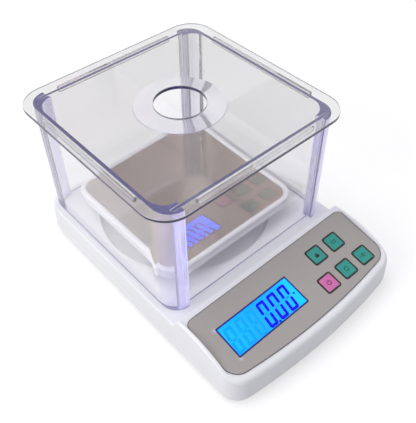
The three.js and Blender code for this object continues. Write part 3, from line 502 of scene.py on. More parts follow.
# Screws. Zinc-plated steel with a pan head and a cross recess. Six close the housing from below, two hold
# the load cell, two the platform on the cell's free end, and four the main board under the panel.
head_sides = 32
shank_sides = 24
head_taper_share = 0.86
recess_span_share = 1.1
recess_width_share = 0.28
recess_depth_share = 0.6
screw_head = 2 * mm
shank_radius = 1.4 * mm
up = (0, 0, 1)
down = (0, 0, -1)


def screw_tree():
    """A screw on every point: a round head with a cross recess and a shank along the axis."""
    tree, given = shape_tree(
        "cross-recess screw", Points="Geometry", Head_Radius="Float", Head_Height="Float",
        Shank_Radius="Float", Shank_Length="Float", Recess_Span="Float", Recess_Width="Float",
        Recess_Depth="Float", Axis="Vector", Finish="Material")
    head = add(tree, "GeometryNodeMeshCone", Vertices=head_sides, Radius_Top=given["Head Radius"],
               Radius_Bottom=maths(tree, "MULTIPLY", given["Head Radius"], head_taper_share),
               Depth=given["Head Height"])
    depth = maths(tree, "MULTIPLY", given["Recess Depth"], 2)
    cross = add(tree, "GeometryNodeJoinGeometry")
    for length, width in (("Recess Span", "Recess Width"), ("Recess Width", "Recess Span")):
        size = add(tree, "ShaderNodeCombineXYZ", given[length], given[width], depth)
        tree.links.new(add(tree, "GeometryNodeMeshCube", Size=size).outputs["Mesh"], cross.inputs[0])
    cut = add(tree, "GeometryNodeMeshBoolean", operation="DIFFERENCE", solver="EXACT", Mesh_1=head,
              Mesh_2=cross, Self_Intersection=True)
    shank = add(tree, "GeometryNodeMeshCylinder", Vertices=shank_sides, Radius=given["Shank Radius"],
                Depth=given["Shank Length"])
    middle = maths(tree, "MULTIPLY", given["Shank Length"], 0.5)
    lift = add(tree, "ShaderNodeCombineXYZ", Z=maths(tree, "ADD", given["Head Height"], middle))
    whole = add(tree, "GeometryNodeJoinGeometry")
    for part in (add(tree, "GeometryNodeTransform", shank, Translation=lift), cut):
        tree.links.new(part.outputs[0], whole.inputs[0])
    turn = add(tree, "FunctionNodeAlignRotationToVector", axis="Z", Vector=given["Axis"])
    copies = add(tree, "GeometryNodeInstanceOnPoints", Points=given["Points"], Instance=whole,
                 Rotation=turn)
    hand_out(tree, copies, given["Finish"])
    return tree


cross_recess_screw = screw_tree()


def screw_set(name, points, axis, head_radius, head_height, shank_radius, shank_length, material):
    """Screws with their heads' outer faces on the points and their shanks along the axis."""
    return sharp_by_angle(grown(name, points, cross_recess_screw, {
        "Head Radius": head_radius, "Head Height": head_height, "Shank Radius": shank_radius,
        "Shank Length": shank_length, "Recess Span": head_radius * recess_span_share,
        "Recess Width": head_radius * recess_width_share, "Recess Depth": head_height * recess_depth_share,
        "Axis": axis, "Finish": material}))


def zinc_plate():
    """Plated steel with a faintly cloudy colour and gloss."""
    material, tree = new_material("zinc plate")
    clouds = noise(tree, scale=140, detail=4)
    principled(tree, Metallic=1.0, Base_Color=shades(tree, clouds, (0.52, 0.53, 0.55), (0.68, 0.69, 0.7)),
               Roughness=spread(tree, noise(tree, scale=420, detail=3), low=0.28, high=0.42),
               Normal=grain(tree, noise(tree, scale=3200), strength=0.15, depth=0.02 * mm))
    return material


zinc = zinc_plate()
screw_rows = [
    ("housing_screw_set", [f"housing_screw_{number}" for number in range(1, 7)], up, "base"),
    ("load_cell_screw_set", ["load_cell_screw_1", "load_cell_screw_2"], up, "base"),
    ("platform_screw_set", ["platform_screw_1", "platform_screw_2"], down, "platform"),
]
for name, screw_nodes, axis, body in screw_rows:
    points = []
    for node in screw_nodes:
        low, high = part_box(node)
        points.append((*middle_of(node), low.z if axis == up else high.z))
    screws = screw_set(name, points, axis, half_of(node), screw_head, shank_radius,
                       high.z - low.z - screw_head, zinc)
    finish_piece(screws, body, [zinc], screw_nodes)


# Load cell. A milled aluminium bar with two joined holes that let it bend, screwed down at its rear end.
# The overload stop below its free end is a plain steel pin.
cell_edge = 0.25 * mm
cutter_stretch = (3200, 120, 3200)


def milled_aluminium():
    """Aluminium with fine lines along the bar, as the cutter leaves them."""
    material, tree = new_material("milled aluminium")
    lines = noise(tree, scale=1, detail=5, rough=0.65, stretch=cutter_stretch)
    principled(tree, Metallic=1.0, Base_Color=shades(tree, lines, (0.6, 0.61, 0.62), (0.74, 0.75, 0.76)),
               Roughness=spread(tree, lines, low=0.3, high=0.45),
               Normal=grain(tree, lines, strength=0.2, depth=0.02 * mm))
    return material


def repaint(material, *parts):
    """Gives carried-over parts another material."""
    for node in parts:
        nodes[node].material_slots[0].material = material


softened_part("load_cell", "load_cell_bar", cell_edge, "base", milled_aluminium())
repaint(zinc, "overload_stop")


# Platform support. A white moulded spider on the load cell's free end: a pad, a post that comes up
# through the well and a cross of two arms under the pan.
softened_part("platform_support", "platform_spider", moulded_edge, "platform",
              moulded_white)


# Pan frame. A shallow white moulded tray with a thick round rim, held off the deck by the spider. Two
# ribs stiffen it from below.
pan_corner = 15 * mm
pan_corner_steps = 16
rim_round = 1.6 * mm
rim_steps = 6
pan_draft = 1.4 * mm
pan_wall = 1.8 * mm
rib_span = 104 * mm
rim_foot_round = 0.6 * mm
seat_gap = 0.3 * mm
frame_low, frame_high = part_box("pan_frame")
plate_low, plate_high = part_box("pan_plate")
pan_centre = middle_of("pan_frame")
pan_half = half_of("pan_frame")
plate_half = half_of("pan_plate")
rim_width = pan_half - plate_half - seat_gap
recess_floor = plate_low.z - seat_gap


def round_square(half_x, half_y, corner, steps, side_steps=1):
    """Points and outward normals round a rectangle with round corners, counterclockwise."""
    outline = []
    for quarter, (x_sign, y_sign) in enumerate(((1, 1), (-1, 1), (-1, -1), (1, -1))):
        centre = Vector((x_sign * (half_x - corner), y_sign * (half_y - corner)))
        for step in range(steps + 1):
            angle = (quarter + step / steps) * math.pi / 2
            normal = Vector((math.cos(angle), math.sin(angle)))
            outline.append((centre + corner * normal, normal))
        start = outline[-1][0]
        along = Vector((-normal.y, normal.x))
        reach = (half_x - corner) if abs(along.x) > abs(along.y) else (half_y - corner)
        for step in range(1, side_steps):
            outline.append((start + along * 2 * reach * step / side_steps, normal))
    return outline


def level_rings(outline, levels, centre):
    """A ring of the outline for each level, which gives how far it is drawn in and its height."""
    return [[(centre[0] + point.x - inset * normal.x, centre[1] + point.y - inset * normal.y, height)
             for point, normal in outline] for inset, height in levels]


def joined(name, piece, others):
    """The piece with the other shapes joined to it, as one mesh. The others go."""
    for other in others:
        step = piece.modifiers.new("solid", "BOOLEAN")
        step.operation = "UNION"
        step.object = other
        step.solver = "EXACT"
    made = plain_mesh(piece, name)
    for other in others:
        bpy.data.objects.remove(other)
    return sharp_by_angle(made)


def block(name, low, high):
    """A plain block between two corners, a blank for joining or rounding."""
    return body_of_rings(name, upright(
        [(low[0], low[1]), (high[0], low[1]), (high[0], high[1]), (low[0], high[1])], (low[2], high[2])))


rim_top = round_over(rim_round, frame_high.z, rim_steps)
pan_levels = (
    [(rim_width + pan_draft, recess_floor - pan_wall), (rim_width + pan_draft, frame_low.z + rim_foot_round),
     (rim_width + pan_draft - rim_foot_round, frame_low.z), (pan_draft + rim_foot_round, frame_low.z),
     (pan_draft, frame_low.z + rim_foot_round)]
    + rim_top + [(rim_width - inset, height) for inset, height in rim_top[::-1]]
    + [(rim_width, recess_floor)])
pan_outline = round_square(pan_half, pan_half, pan_corner, pan_corner_steps)
tray_skin = body_of_rings("pan_tray_skin", level_rings(pan_outline, pan_levels, pan_centre))
ribs = []
for turn in (math.pi / 4, -math.pi / 4):
    rib = block("rib", (-rib_span / 2, -pan_wall / 2, frame_low.z),
                (rib_span / 2, pan_wall / 2, recess_floor - pan_wall / 2))
    rib.data.transform(Matrix.Translation((*pan_centre, 0)) @ Matrix.Rotation(turn, 4, "Z"))
    ribs.append(rib)
finish_piece(joined("pan_tray", tray_skin, ribs), "pan", [moulded_white], ["pan_frame"])


# Pan plate. A square of stainless sheet with round corners, brushed from front to rear, that lies loose
# in the tray's recess. Its edge is broken all round.
plate_edge = 0.35 * mm
plate_edge_steps = 4
hair_stretch = (5200, 40, 400)
cloud_stretch = (14, 9, 9)
hair_share = 0.6
cloud_share = 0.4


def brushed_steel():
    """Warm stainless steel with long hair lines along Y, a few deeper scratches and a cloudy gloss."""
    material, tree = new_material("brushed steel")
    hair = noise(tree, scale=1, detail=3, rough=0.6, stretch=hair_stretch)
    clouds = noise(tree, scale=1, detail=3, stretch=cloud_stretch)
    both = maths(tree, "ADD", maths(tree, "MULTIPLY", hair, hair_share),
                 maths(tree, "MULTIPLY", clouds, cloud_share))
    lie = add(tree, "ShaderNodeTangent", direction_type="RADIAL", axis="X")
    principled(tree, Metallic=1.0, Anisotropic=0.3, Tangent=lie,
               Base_Color=shades(tree, both, (0.67, 0.565, 0.52), (0.725, 0.615, 0.57)),
               Roughness=spread(tree, both, low=0.1, high=0.17),
               Normal=grain(tree, hair, strength=0.05, depth=0.004 * mm))
    return material


plate_levels = [(plate_edge / 2, plate_low.z), (0, plate_low.z + plate_edge / 2)]
plate_levels += round_over(plate_edge, plate_high.z, plate_edge_steps)
plate_outline = round_square(plate_half, plate_half, pan_corner - rim_width - seat_gap, pan_corner_steps)
plate = sharp_by_angle(body_of_rings("pan_sheet", level_rings(plate_outline, plate_levels, pan_centre)))
finish_piece(plate, "pan", [brushed_steel()], ["pan_plate"])


# Draft shield shells. Two walls of clear polystyrene, moulded with a thick round corner at each end that
# runs out into a channel for a pane. Long ways through the plastic look a little violet. The cut edges are
# painted a dark violet shade, and a faint violet glow is painted on the plastic, most of it on the posts.
clear_edge = 0.35 * mm
clear_edge_steps = 3
side_wall = 2.8 * mm
shield_corner = 15 * mm
inner_corner = 14 * mm
channel_depth = 7 * mm
inner_lip = 2.5 * mm
outer_lip = 3.8 * mm
shield_corner_steps = 14
wall_losses = (26.0, 27.0, 24.0)
# Painted shade: the dark violet colour that the walls' cut edges get.
wall_edge_shade = (0.08, 0.068, 0.3)
post_tint = (0.93, 0.92, 1.0)
post_share = 0.5
corner_share = 0.12
clear_shares = (0.97, 0.8, 0.3)
cut_roughness = 0.1
# Painted glow: its colour, its strength at the front left and at the rear right, and its share away from the
# posts.
painted_glow_color = (0.62, 0.58, 1.0, 1)
near_painted_glow = 0.17
far_painted_glow = 0.0
broad_painted_glow_share = 0.04
lamp_reach = (0.92, 0.92, 0.925, 1)
level_span = (0.4, 0.75)
shell_low, shell_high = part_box("shield_shell_right")
pane_low, pane_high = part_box("shield_pane_front")
shield_centre_y = middle_of("shield_shell_right")[1]
pane_half_y = shield_centre_y - pane_low.y
pane_thickness = pane_high.y - pane_low.y
lip_y = shell_high.y - shield_centre_y
mouth_x = shell_high.x - shield_corner


def axis_of(tree, axis, shift=(0, 0, 0)):
    """How far along one axis a point of the piece lies."""
    return add(tree, "ShaderNodeSeparateXYZ", place_of(tree, shift=shift)).outputs[axis]


def clear_plastic(name, losses, edge_shade, zone):
    """Clear polystyrene, which lamps reach through. A faint violet glow is painted on it, fading from the
    front left to the rear right.

    losses says how much red, green and blue it takes for each metre of it. zone is 0 on a broad clear
    face, post_share on the posts, which are a little cloudy and carry most of the painted glow, and 1 on
    a cut edge, which is painted a dark shade. clear_shares says how clear these three are.
    """
    material, tree = new_material(name)
    material.cycles.emission_sampling = "NONE"
    kind = zone(tree)
    # The cut edges get a painted dark shade over most of their face; only a small share of them stays clear.
    tints = [(1, 1, 1), post_tint, edge_shade]
    tint = ramp(tree, kind, *[(place, (*color, clear))
                              for place, color, clear in zip((0, post_share, 1), tints, clear_shares)])
    smears = spread(tree, noise(tree, scale=30), low=0.015, high=0.035)
    # The painted glow fades from the front left to the rear right.
    away = maths(tree, "ADD", axis_of(tree, "X"), axis_of(tree, "Y"))
    painted_glow_fade = spread(tree, away, near_painted_glow, far_painted_glow, shell_low.y - mouth_x, shell_high.y + mouth_x)
    # cloudy is the share of the painted glow in each zone: all of it on the posts, a little elsewhere.
    cloudy = spread(tree, maths(tree, "MULTIPLY", kind, spread(tree, kind, 1, 0)), broad_painted_glow_share, 1,
                    full=post_share * (1 - post_share))
    shader = add(tree, "ShaderNodeBsdfPrincipled", IOR=1.59, Emission_Color=painted_glow_color, Base_Color=tint,
                 Transmission_Weight=tint.outputs["Alpha"],
                 Roughness=maths(tree, "ADD", smears, maths(tree, "MULTIPLY", kind, cut_roughness)),
                 Emission_Strength=maths(tree, "MULTIPLY", painted_glow_fade, cloudy))
    shadow = add(tree, "ShaderNodeLightPath").outputs["Is Shadow Ray"]
    open_way = add(tree, "ShaderNodeBsdfTransparent", lamp_reach)
    most = max(losses)
    body = add(tree, "ShaderNodeVolumeAbsorption", Density=most,
               Color=(*[1 - loss / most for loss in losses], 1))
    add(tree, "ShaderNodeOutputMaterial", Volume=body,
        Surface=add(tree, "ShaderNodeMixShader", shadow, shader, open_way))
    return material


def steepness(tree):
    """1 on a level face and 0 on an upright one."""
    normal = add(tree, "ShaderNodeTexCoord").outputs["Normal"]
    rise = add(tree, "ShaderNodeSeparateXYZ", normal).outputs["Z"]
    return spread(tree, maths(tree, "ABSOLUTE", rise), 0, 1, *level_span)


def wall_zone(tree):
    """1 on tops and bottoms (painted shade), post_share on the channels, corner_share on round corners."""
    aside, along = [maths(tree, "ABSOLUTE", axis_of(tree, axis, shift=(0, -shield_centre_y, 0)))
                    for axis in ("X", "Y")]
    corner_y = lip_y - shield_corner
    channel_x = mouth_x + channel_depth
    at_end = spread(tree, along, 0, 1, corner_y - side_wall, corner_y + side_wall)
    post = spread(tree, aside, post_share, corner_share, channel_x, channel_x + side_wall)
    return maths(tree, "MAXIMUM", steepness(tree), maths(tree, "MULTIPLY", at_end, post))


def shell_outline(side):
    """Outline of one shell, seen from above: the wall, and at each end the corner and its channel."""
    groove_out = lip_y - outer_lip
    groove_in = groove_out - pane_thickness - 2 * seat_gap
    groove_end = mouth_x + channel_depth
    inner_centre = (shell_high.x - side_wall - inner_corner, groove_in - inner_lip - inner_corner)
    half = arc((mouth_x, lip_y - shield_corner), shield_corner, 0, math.pi / 2, shield_corner_steps)
    half += [(mouth_x, groove_out), (groove_end, groove_out), (groove_end, groove_in), (mouth_x, groove_in)]
    half += arc(inner_centre, inner_corner, math.pi / 2, 0, shield_corner_steps)
    whole = half + [(x, -y) for x, y in reversed(half)]
    return [(side * x, shield_centre_y + y) for x, y in whole]


clear = clear_plastic("clear polystyrene", wall_losses, wall_edge_shade, wall_zone)
for side, node, name in ((-1, "shield_shell_left", "left_shell"), (1, "shield_shell_right", "right_shell")):
    shell = body_of_rings(name, upright(shell_outline(side), (shell_low.z, shell_high.z)))
    soften(shell, clear_edge, clear_edge_steps)
    finish_piece(shell, "draft_shield", [clear], [node])


# Draft shield panes. Two flat clear sheets that slide down into the shells' channels, at the front and
# at the rear.
# The panes' level edges get the same painted dark shade.
pane_clear = clear_plastic("pane polystyrene", wall_losses, wall_edge_shade, steepness)
for node, name in (("shield_pane_front", "front_pane"), ("shield_pane_rear", "rear_pane")):
    pane = soften(block(name, *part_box(node)), clear_edge, clear_edge_steps)
    finish_piece(pane, "draft_shield", [pane_clear], [node])


# Lid. A square clear sheet with round corners that lies loose on the shield. A faintly frosted ring
# steps up from it and rises to the round hole, and four ribs below keep the lid in place.
lid_corner = 22 * mm
lid_sheet = 2.5 * mm
lid_round = 0.6 * mm
lid_round_steps = 4
hole_radius = 20 * mm
hole_round = 0.5 * mm
hole_round_steps = 3
ring_radius = 35.4 * mm
ring_step = 0.4 * mm
ring_rise = 2.1 * mm
ring_round = 0.25 * mm
lid_rib_length = 110 * mm
lid_rib_width = 2.4 * mm
lid_rib_play = 0.6 * mm
lid_steps = 14
lid_low, lid_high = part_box("lid")
lid_centre = middle_of("lid")
lid_half = half_of("lid")
lid_top = lid_high.z - ring_step - ring_rise
lid_bottom = lid_top - lid_sheet
lid_losses = (50.0, 50.0, 50.0)
# Painted shade: the dark navy colour that the lid's rim and hole get.
lid_edge_shade = (0.02, 0.016, 0.08)
frost_share = 0.08


def lid_zone(tree):
    """1 on the rim and hole, which get a painted dark shade, frost_share on the ring, 0 on sheet and ribs.
    """
    upright_face = spread(tree, steepness(tree), 1, 0)
    above = spread(tree, axis_of(tree, "Z"), 0, 1, lid_bottom - lid_round, lid_bottom)
    flat = place_of(tree, (1, 1, 0), shift=(-lid_centre[0], -lid_centre[1], 0))
    reach = add(tree, "ShaderNodeVectorMath", flat, operation="LENGTH").outputs["Value"]
    ring = spread(tree, reach, frost_share, 0, ring_radius - ring_round, ring_radius)
    return maths(tree, "MAXIMUM", maths(tree, "MULTIPLY", upright_face, above), ring)


lid_outline = round_square(lid_half, lid_half, lid_corner, lid_steps, lid_steps)


def round_ring(radius, height):
    """A ring of the hole or of the frosted field, with a point for each point of the lid's outline."""
    ways = [point.normalized() for point, normal in lid_outline]
    return [(lid_centre[0] + radius * way.x, lid_centre[1] + radius * way.y, height) for way in ways]


lid_rounding = round_over(lid_round, 0, lid_round_steps)
lid_levels = [(inset, lid_bottom - drop) for inset, drop in lid_rounding[::-1]]
lid_levels += [(inset, lid_top + drop) for inset, drop in lid_rounding]
hole_low = lid_bottom + ring_rise
hole_rounding = round_over(hole_round, 0, hole_round_steps)
lid_rings = (
    [round_ring(ring_radius, lid_bottom)] + level_rings(lid_outline, lid_levels, lid_centre)
    + [round_ring(ring_radius, lid_top), round_ring(ring_radius - ring_round, lid_top + ring_step)]
    + [round_ring(hole_radius + inset, lid_high.z + drop) for inset, drop in hole_rounding[::-1]]
    + [round_ring(hole_radius + inset, hole_low - drop) for inset, drop in hole_rounding])
lid_skin = body_of_rings("lid_skin", lid_rings, closed=True)
rib_x = shell_high.x + lid_rib_play + lid_rib_width / 2
rib_y = pane_half_y + lid_rib_play + lid_rib_width / 2
along_x = (lid_rib_length / 2, lid_rib_width / 2)
along_y = (lid_rib_width / 2, lid_rib_length / 2)
lid_ribs = []
for x, y, (half_x, half_y) in ((rib_x, 0, along_y), (-rib_x, 0, along_y),
                               (0, rib_y, along_x), (0, -rib_y, along_x)):
    x += lid_centre[0]
    y += lid_centre[1]
    lid_ribs.append(block("lid_rib", (x - half_x, y - half_y, lid_low.z),
                          (x + half_x, y + half_y, lid_bottom + lid_round / 2)))
lid_clear = clear_plastic("lid polystyrene", lid_losses, lid_edge_shade, lid_zone)
finish_piece(joined("lid_sheet", lid_skin, lid_ribs), "lid_body", [lid_clear], ["lid"])


# Panel overlay. A grey film with a fine matt grain, stuck on the sloped bed between the rims. It is cut
# out for the display window and for the five keys. A thin dark line round its edge is painted shade of
# the narrow gap round the film.
film_lift = 0.3 * mm
film_thickness = 0.5 * mm
film_rear = 4.6 * mm
film_rear_corner = 6 * mm
film_front_corner = 13 * mm
film_bow = 560 * mm
film_steps = 16
box_steps = 6
key_corner = 1.2 * mm
window_corner = 0.6 * mm
# Width of the dark line of painted shade round the film's edge.
edge_line = 0.45 * mm
ink_lift = 0.02 * mm
ink_thickness = 0.03 * mm
# Painted violet glow on the film near the display window: its colour, strength and reach.
leak_tint = (0.62, 0.45, 1.0, 1)
leak_strength = 0.4
leak_radius = 3.2 * mm
leak_outside = 1.2 * mm
press_axis = next(joint["axis"] for joint in frame["joints"] if joint["name"] == "hold_press")
slope = math.atan2(press_axis[1], -press_axis[2])
film_low, film_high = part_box("panel_overlay")
film_half = half_of("panel_overlay")
film_top = film_lift + film_thickness
ridge_y = film_high.y + film_rear * math.cos(slope) + film_lift * math.sin(slope)
ridge_z = film_high.z + film_rear * math.sin(slope) - film_top * math.cos(slope)
film_front = (ridge_y - film_low.y - film_top * math.sin(slope)) / math.cos(slope)
panel_frame = Matrix.Translation((0, ridge_y, ridge_z)) @ Matrix.Rotation(slope, 4, "X")
panel_back = panel_frame.inverted()


def on_panel(node):
    """Middle of a node in the panel's own frame."""
    low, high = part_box(node)
    return panel_back @ ((low + high) / 2)


key_names = {"key_hold": "hold_button", "key_count": "count_button", "key_power": "power_button",
             "key_mode": "mode_button", "key_tare": "tare_button"}
key_half = half_of("key_hold")
window_middle = on_panel("display_window")
window_half_x = half_of("display_window")
window_half_y = 12.95 * mm


def film_outline(inset):
    """The film's outline, drawn in by inset: square at the rear, a shallow arc at the front."""
    half = film_half - inset
    front = film_front - inset
    bow = film_bow - inset
    front_corner = film_front_corner - inset
    rear_rounding = round_over(film_rear_corner - inset, -film_rear - inset, film_steps)
    points = [(half - drawn_in, y) for drawn_in, y in rear_rounding[::-1]]
    centre_y = bow - front
    corner_x = half - front_corner
    corner_y = centre_y - math.sqrt((bow - front_corner) ** 2 - corner_x ** 2)
    last = math.atan2(corner_y - centre_y, corner_x)
    points += arc((corner_x, corner_y), front_corner, 0, last, film_steps)
    points += arc((0, centre_y), bow, last, -math.pi / 2, film_steps)[1:-1]
    return points + [(0, -front)] + [(-x, y) for x, y in reversed(points)]


def sheet_of(name, outlines, bottom, top, edge=0.0):
    """A flat sheet on the panel: the first outline is its edge, the others are its cut-outs."""
    curve = bpy.data.curves.new(name, "CURVE")
    curve.dimensions = "2D"
    curve.fill_mode = "BOTH"
    for outline in outlines:
        spline = curve.splines.new("POLY")
        spline.points.add(len(outline) - 1)
        for point, (x, y) in zip(spline.points, outline):
            point.co = (x, y, 0, 1)
        spline.use_cyclic_u = True
    curve.extrude = (top - bottom) / 2 - edge
    curve.bevel_depth = edge
    curve.bevel_resolution = 2 if edge else 0
    curve.offset = -edge
    made = plain_mesh(link(curve, name + "_curve"), name)
    reworked(made.data, weld_points, turn_faces_out)
    made.data.transform(panel_frame @ Matrix.Translation((0, 0, (top + bottom) / 2)))
    return sharp_by_angle(made)


def printed(name, outlines, height, body, ink):
    """A thin print whose lower face is at this height above the panel's bed."""
    finish_piece(sheet_of(name, outlines, height, height + ink_thickness), body, [ink])


def round_box(half_x, half_y, corner, x=0.0, y=0.0, steps=box_steps):
    """Outline of a rectangle with round corners as plain points."""
    return [(x + point.x, y + point.y) for point, normal in round_square(half_x, half_y, corner, steps)]


def window_box(margin, corner=window_corner):
    """Outline of the display window with a margin round it."""
    return round_box(window_half_x + margin, window_half_y + margin, corner,
                     window_middle.x, window_middle.y)


def key_box(key, margin, corner):
    """Outline of a key with a margin round it."""
    middle = on_panel(key)
    return round_box(key_half + margin, key_half + margin, corner, middle.x, middle.y)


def printed_film(name, dark, light, roughness):
    """Printed film: an even ink with a very fine grain and a silky sheen."""
    material, tree = new_material(name)
    speckle = noise(tree, scale=5200)
    principled(tree, Coat_Weight=0.15, Coat_Roughness=0.25, Base_Color=shades(tree, speckle, dark, light),
               Roughness=spread(tree, noise(tree, scale=90, detail=3), *roughness),
               Normal=grain(tree, speckle, strength=0.1, depth=0.01 * mm))
    return material


def light_leaks(material, places):
    """A soft violet glow painted on the film round two places on the panel."""
    tree = material.node_tree
    shader = next(node for node in tree.nodes if node.type == "BSDF_PRINCIPLED")
    gaps = [add(tree, "ShaderNodeVectorMath", place_of(tree), panel_frame @ Vector(place),
                operation="DISTANCE").outputs["Value"] for place in places]
    fall = spread(tree, maths(tree, "MINIMUM", *gaps), 1, 0, 0, leak_radius)
    strength = maths(tree, "MULTIPLY", maths(tree, "MULTIPLY", fall, fall), leak_strength)
    tree.links.new(strength.outputs[0], shader.inputs["Emission Strength"])
    shader.inputs["Emission Color"].default_value = leak_tint


cut_outs = [window_box(seat_gap)] + [key_box(key, seat_gap, key_corner) for key in key_names]
film = sheet_of("panel_film", [film_outline(0)] + cut_outs, film_lift, film_top)
# Ink for the painted shade round the film's edge.
film_shade_ink = printed_film("painted film edge shade", (0.03, 0.028, 0.03), (0.045, 0.042, 0.045), (0.4, 0.5))
grey_film = printed_film("grey panel film", (0.36, 0.335, 0.32), (0.42, 0.392, 0.375), (0.38, 0.5))
leak_x = window_middle.x - window_half_x - leak_outside
light_leaks(grey_film, [(leak_x, window_middle.y + window_half_y, film_top),
                        (leak_x + leak_outside, window_middle.y - window_half_y - leak_outside, film_top)])
finish_piece(film, "base", [grey_film], ["panel_overlay"])
# The thin dark line round the film's edge is painted shade of the gap round it.
printed("film_edge_line", [film_outline(0), film_outline(edge_line)], film_top + ink_lift, "base",
        film_shade_ink)


# Display window. A clear piece of film, flush with the overlay. A thin navy frame is printed round its
# edge and hides the joint.
border_inside = 0.85 * mm
border_outside = 0.45 * mm


def window_film():
    """Thin clear film, a little wavy."""
    material, tree = new_material("window film")
    principled(tree, Base_Color=(1, 1, 1, 1), IOR=1.2, Roughness=0.03, Transmission_Weight=1.0,
               Normal=grain(tree, noise(tree, scale=60), strength=0.03, depth=0.02 * mm))
    return material


window = sheet_of("window_film", [window_box(0)], film_lift, film_top)
finish_piece(window, "base", [window_film()], ["display_window"])
navy_ink = printed_film("navy ink", (0.004, 0.004, 0.03), (0.008, 0.008, 0.045), (0.3, 0.4))
printed("window_border", [window_box(border_outside), window_box(-border_inside, window_corner / 2)],
        film_top + ink_lift, "base", navy_ink)


# Display. A liquid crystal cell over a light guide that a row of blue diodes feeds from both ends. It
# shows three slanted digits and a point; the segments that are off still show faintly.
glass_past_window = 3.3 * mm
glass_thickness = 2.8 * mm
glass_edge = 0.2 * mm
blue_stops = [(0.0, (0.0, 0.55, 7.5, 1)), (0.45, (0.0, 0.45, 7.5, 1)), (0.75, (0.0, 0.47, 7.5, 1)),
              (1.0, (0.002, 0.7, 7.5, 1))]
digit_width = 8.0 * mm
digit_height = 21.6 * mm
digit_pitch = 11.0 * mm
digit_slant = math.radians(8)
digit_places = 6
digits_lit = 3
stroke = 2.3 * mm
stroke_gap = 0.65 * mm
digit_corner = 1.1 * mm
dim_share = 0.92
last_digit = (-7.4 * mm, -35.4 * mm)
segment_thickness = 0.04 * mm
glass_middle = on_panel("display_glass")
glass_top = glass_middle.z + glass_thickness / 2
segment_lift = glass_top + ink_lift


def lit_glass():
    """Blue back light: deep in the middle, towards cyan at both ends."""
    material, tree = new_material("lit display")
    low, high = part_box("display_glass")
    along = spread(tree, axis_of(tree, "X"), 0, 1, low.x, high.x)
    principled(tree, Base_Color=(0.01, 0.02, 0.05, 1), Roughness=0.15, Specular_IOR_Level=0.1,
               Emission_Strength=1.0, Emission_Color=ramp(tree, along, *blue_stops, blending="EASE"))
    return material


def glowing(name, color):
    """Segments that give their own light, a little uneven."""
    material, tree = new_material(name)
    clouds = noise(tree, scale=300)
    dimmer = [dim_share * part for part in color]
    principled(tree, Base_Color=(0, 0, 0.02, 1), Roughness=0.4, Specular_IOR_Level=0.1,
               Emission_Strength=1.0, Emission_Color=shades(tree, clouds, dimmer, color, low=0.2, high=0.8))
    return material


def slanted(name, outline):
    """A thin shape on the glass, from its upright outline about a digit's middle."""
    leaning = [(x + y * math.tan(digit_slant), y) for x, y in outline]
    return body_of_rings(name, upright(leaning, (0, segment_thickness)))


def half_nought():
    """Three joined segments: the upper half of a nought. Turned half round, it is the lower half."""
    half_x = digit_width / 2
    half_y = digit_height / 2
    inner_x = half_x - stroke
    inner_y = half_y - stroke
    foot = stroke_gap + stroke / 3
    toe = half_x - stroke / 2
    outer = [(-half_x, foot), (-half_x, half_y - digit_corner), (digit_corner - half_x, half_y)]
    inner = [(inner_x, foot), (inner_x, inner_y), (-inner_x, inner_y), (-inner_x, foot)]
    return slanted("half_nought", outer + [(-x, y) for x, y in reversed(outer)] + [(toe, stroke_gap)]
                   + inner + [(-toe, stroke_gap)])


def middle_bar():
    """The bar across a digit's middle, with pointed ends."""
    reach = digit_width / 2 - stroke / 2 - stroke_gap
    end = reach - stroke / 2
    return slanted("middle_bar", [(-reach, 0), (-end, -stroke / 2), (end, -stroke / 2), (reach, 0),
                                  (end, stroke / 2), (-end, stroke / 2)])


glass_outline = round_box(half_of("display_glass"), window_half_y + glass_past_window, window_corner,
                          glass_middle.x, glass_middle.y)
glass = sheet_of("display_cell", [glass_outline], glass_top - glass_thickness, glass_top, glass_edge)
finish_piece(glass, "base", [lit_glass()], ["display_glass"])
segment_blue = glowing("lit segments", (0.004, 0.0, 0.9))
ghost_blue = glowing("resting segments", (0.0, 0.42, 7.2))
half_turn = (0, 0, math.pi)
centres = [(last_digit[0] - place * digit_pitch, last_digit[1], segment_lift)
           for place in range(digit_places)]


def both_halves(digits):
    """Places of the two halves of each nought."""
    return [(centre, turn, full_size) for centre in digits for turn in (unturned, half_turn)]


for name, shape, places, material in (
        ("lit_digits", half_nought(), both_halves(centres[:digits_lit]), segment_blue),
        ("resting_digits", half_nought(), both_halves(centres[digits_lit:]), ghost_blue),
        ("resting_bars", middle_bar(), [(centre, unturned, full_size) for centre in centres], ghost_blue)):
    digits = repeated(name, shape, places, material)
    digits.data.transform(panel_frame)
    finish_piece(digits, "base", [material])

point_radius = 0.95 * mm
point_place = (-25.5 * mm, -45.7 * mm)
mark_radius = 0.8 * mm
mark_place = (-0.8 * mm, -35.7 * mm)
dot_corner_share = 0.6
for name, place, radius in (("decimal_point", point_place, point_radius),
                            ("unit_dot", mark_place, mark_radius)):
    dot = sheet_of(name, [round_box(radius, radius, radius * dot_corner_share, *place)], segment_lift,
                   segment_lift + segment_thickness)
    finish_piece(dot, "base", [segment_blue])


# Light guide, connector strip and frame of the display. The guide is a polished clear block, the strip
# is striped rubber that joins the glass to the board, and the frame is black plastic.
bezel_edge = 0.25 * mm


def striped_rubber():
    """Thin layers of dark and reddish rubber."""
    material, tree = new_material("striped rubber")
    stripes = add(tree, "ShaderNodeTexWave", Vector=place_of(tree), Scale=900)
    principled(tree, Roughness=0.8, Base_Color=shades(
        tree, stripes.outputs["Fac"], (0.02, 0.02, 0.02), (0.3, 0.1, 0.12), low=0.45, high=0.55))
    return material


repaint(moulded_plastic("light guide", (0.8, 0.88, 0.98), (0.86, 0.93, 1.0), (0.1, 0.2), grain_scale=900,
                        grain_depth=0.01 * mm), "display_light_guide")
repaint(striped_rubber(), "display_connector")
black = moulded_plastic("black plastic", (0.014, 0.014, 0.016), (0.024, 0.024, 0.027), (0.35, 0.5))
softened_part("display_frame", "display_bezel", bezel_edge, "base", black)


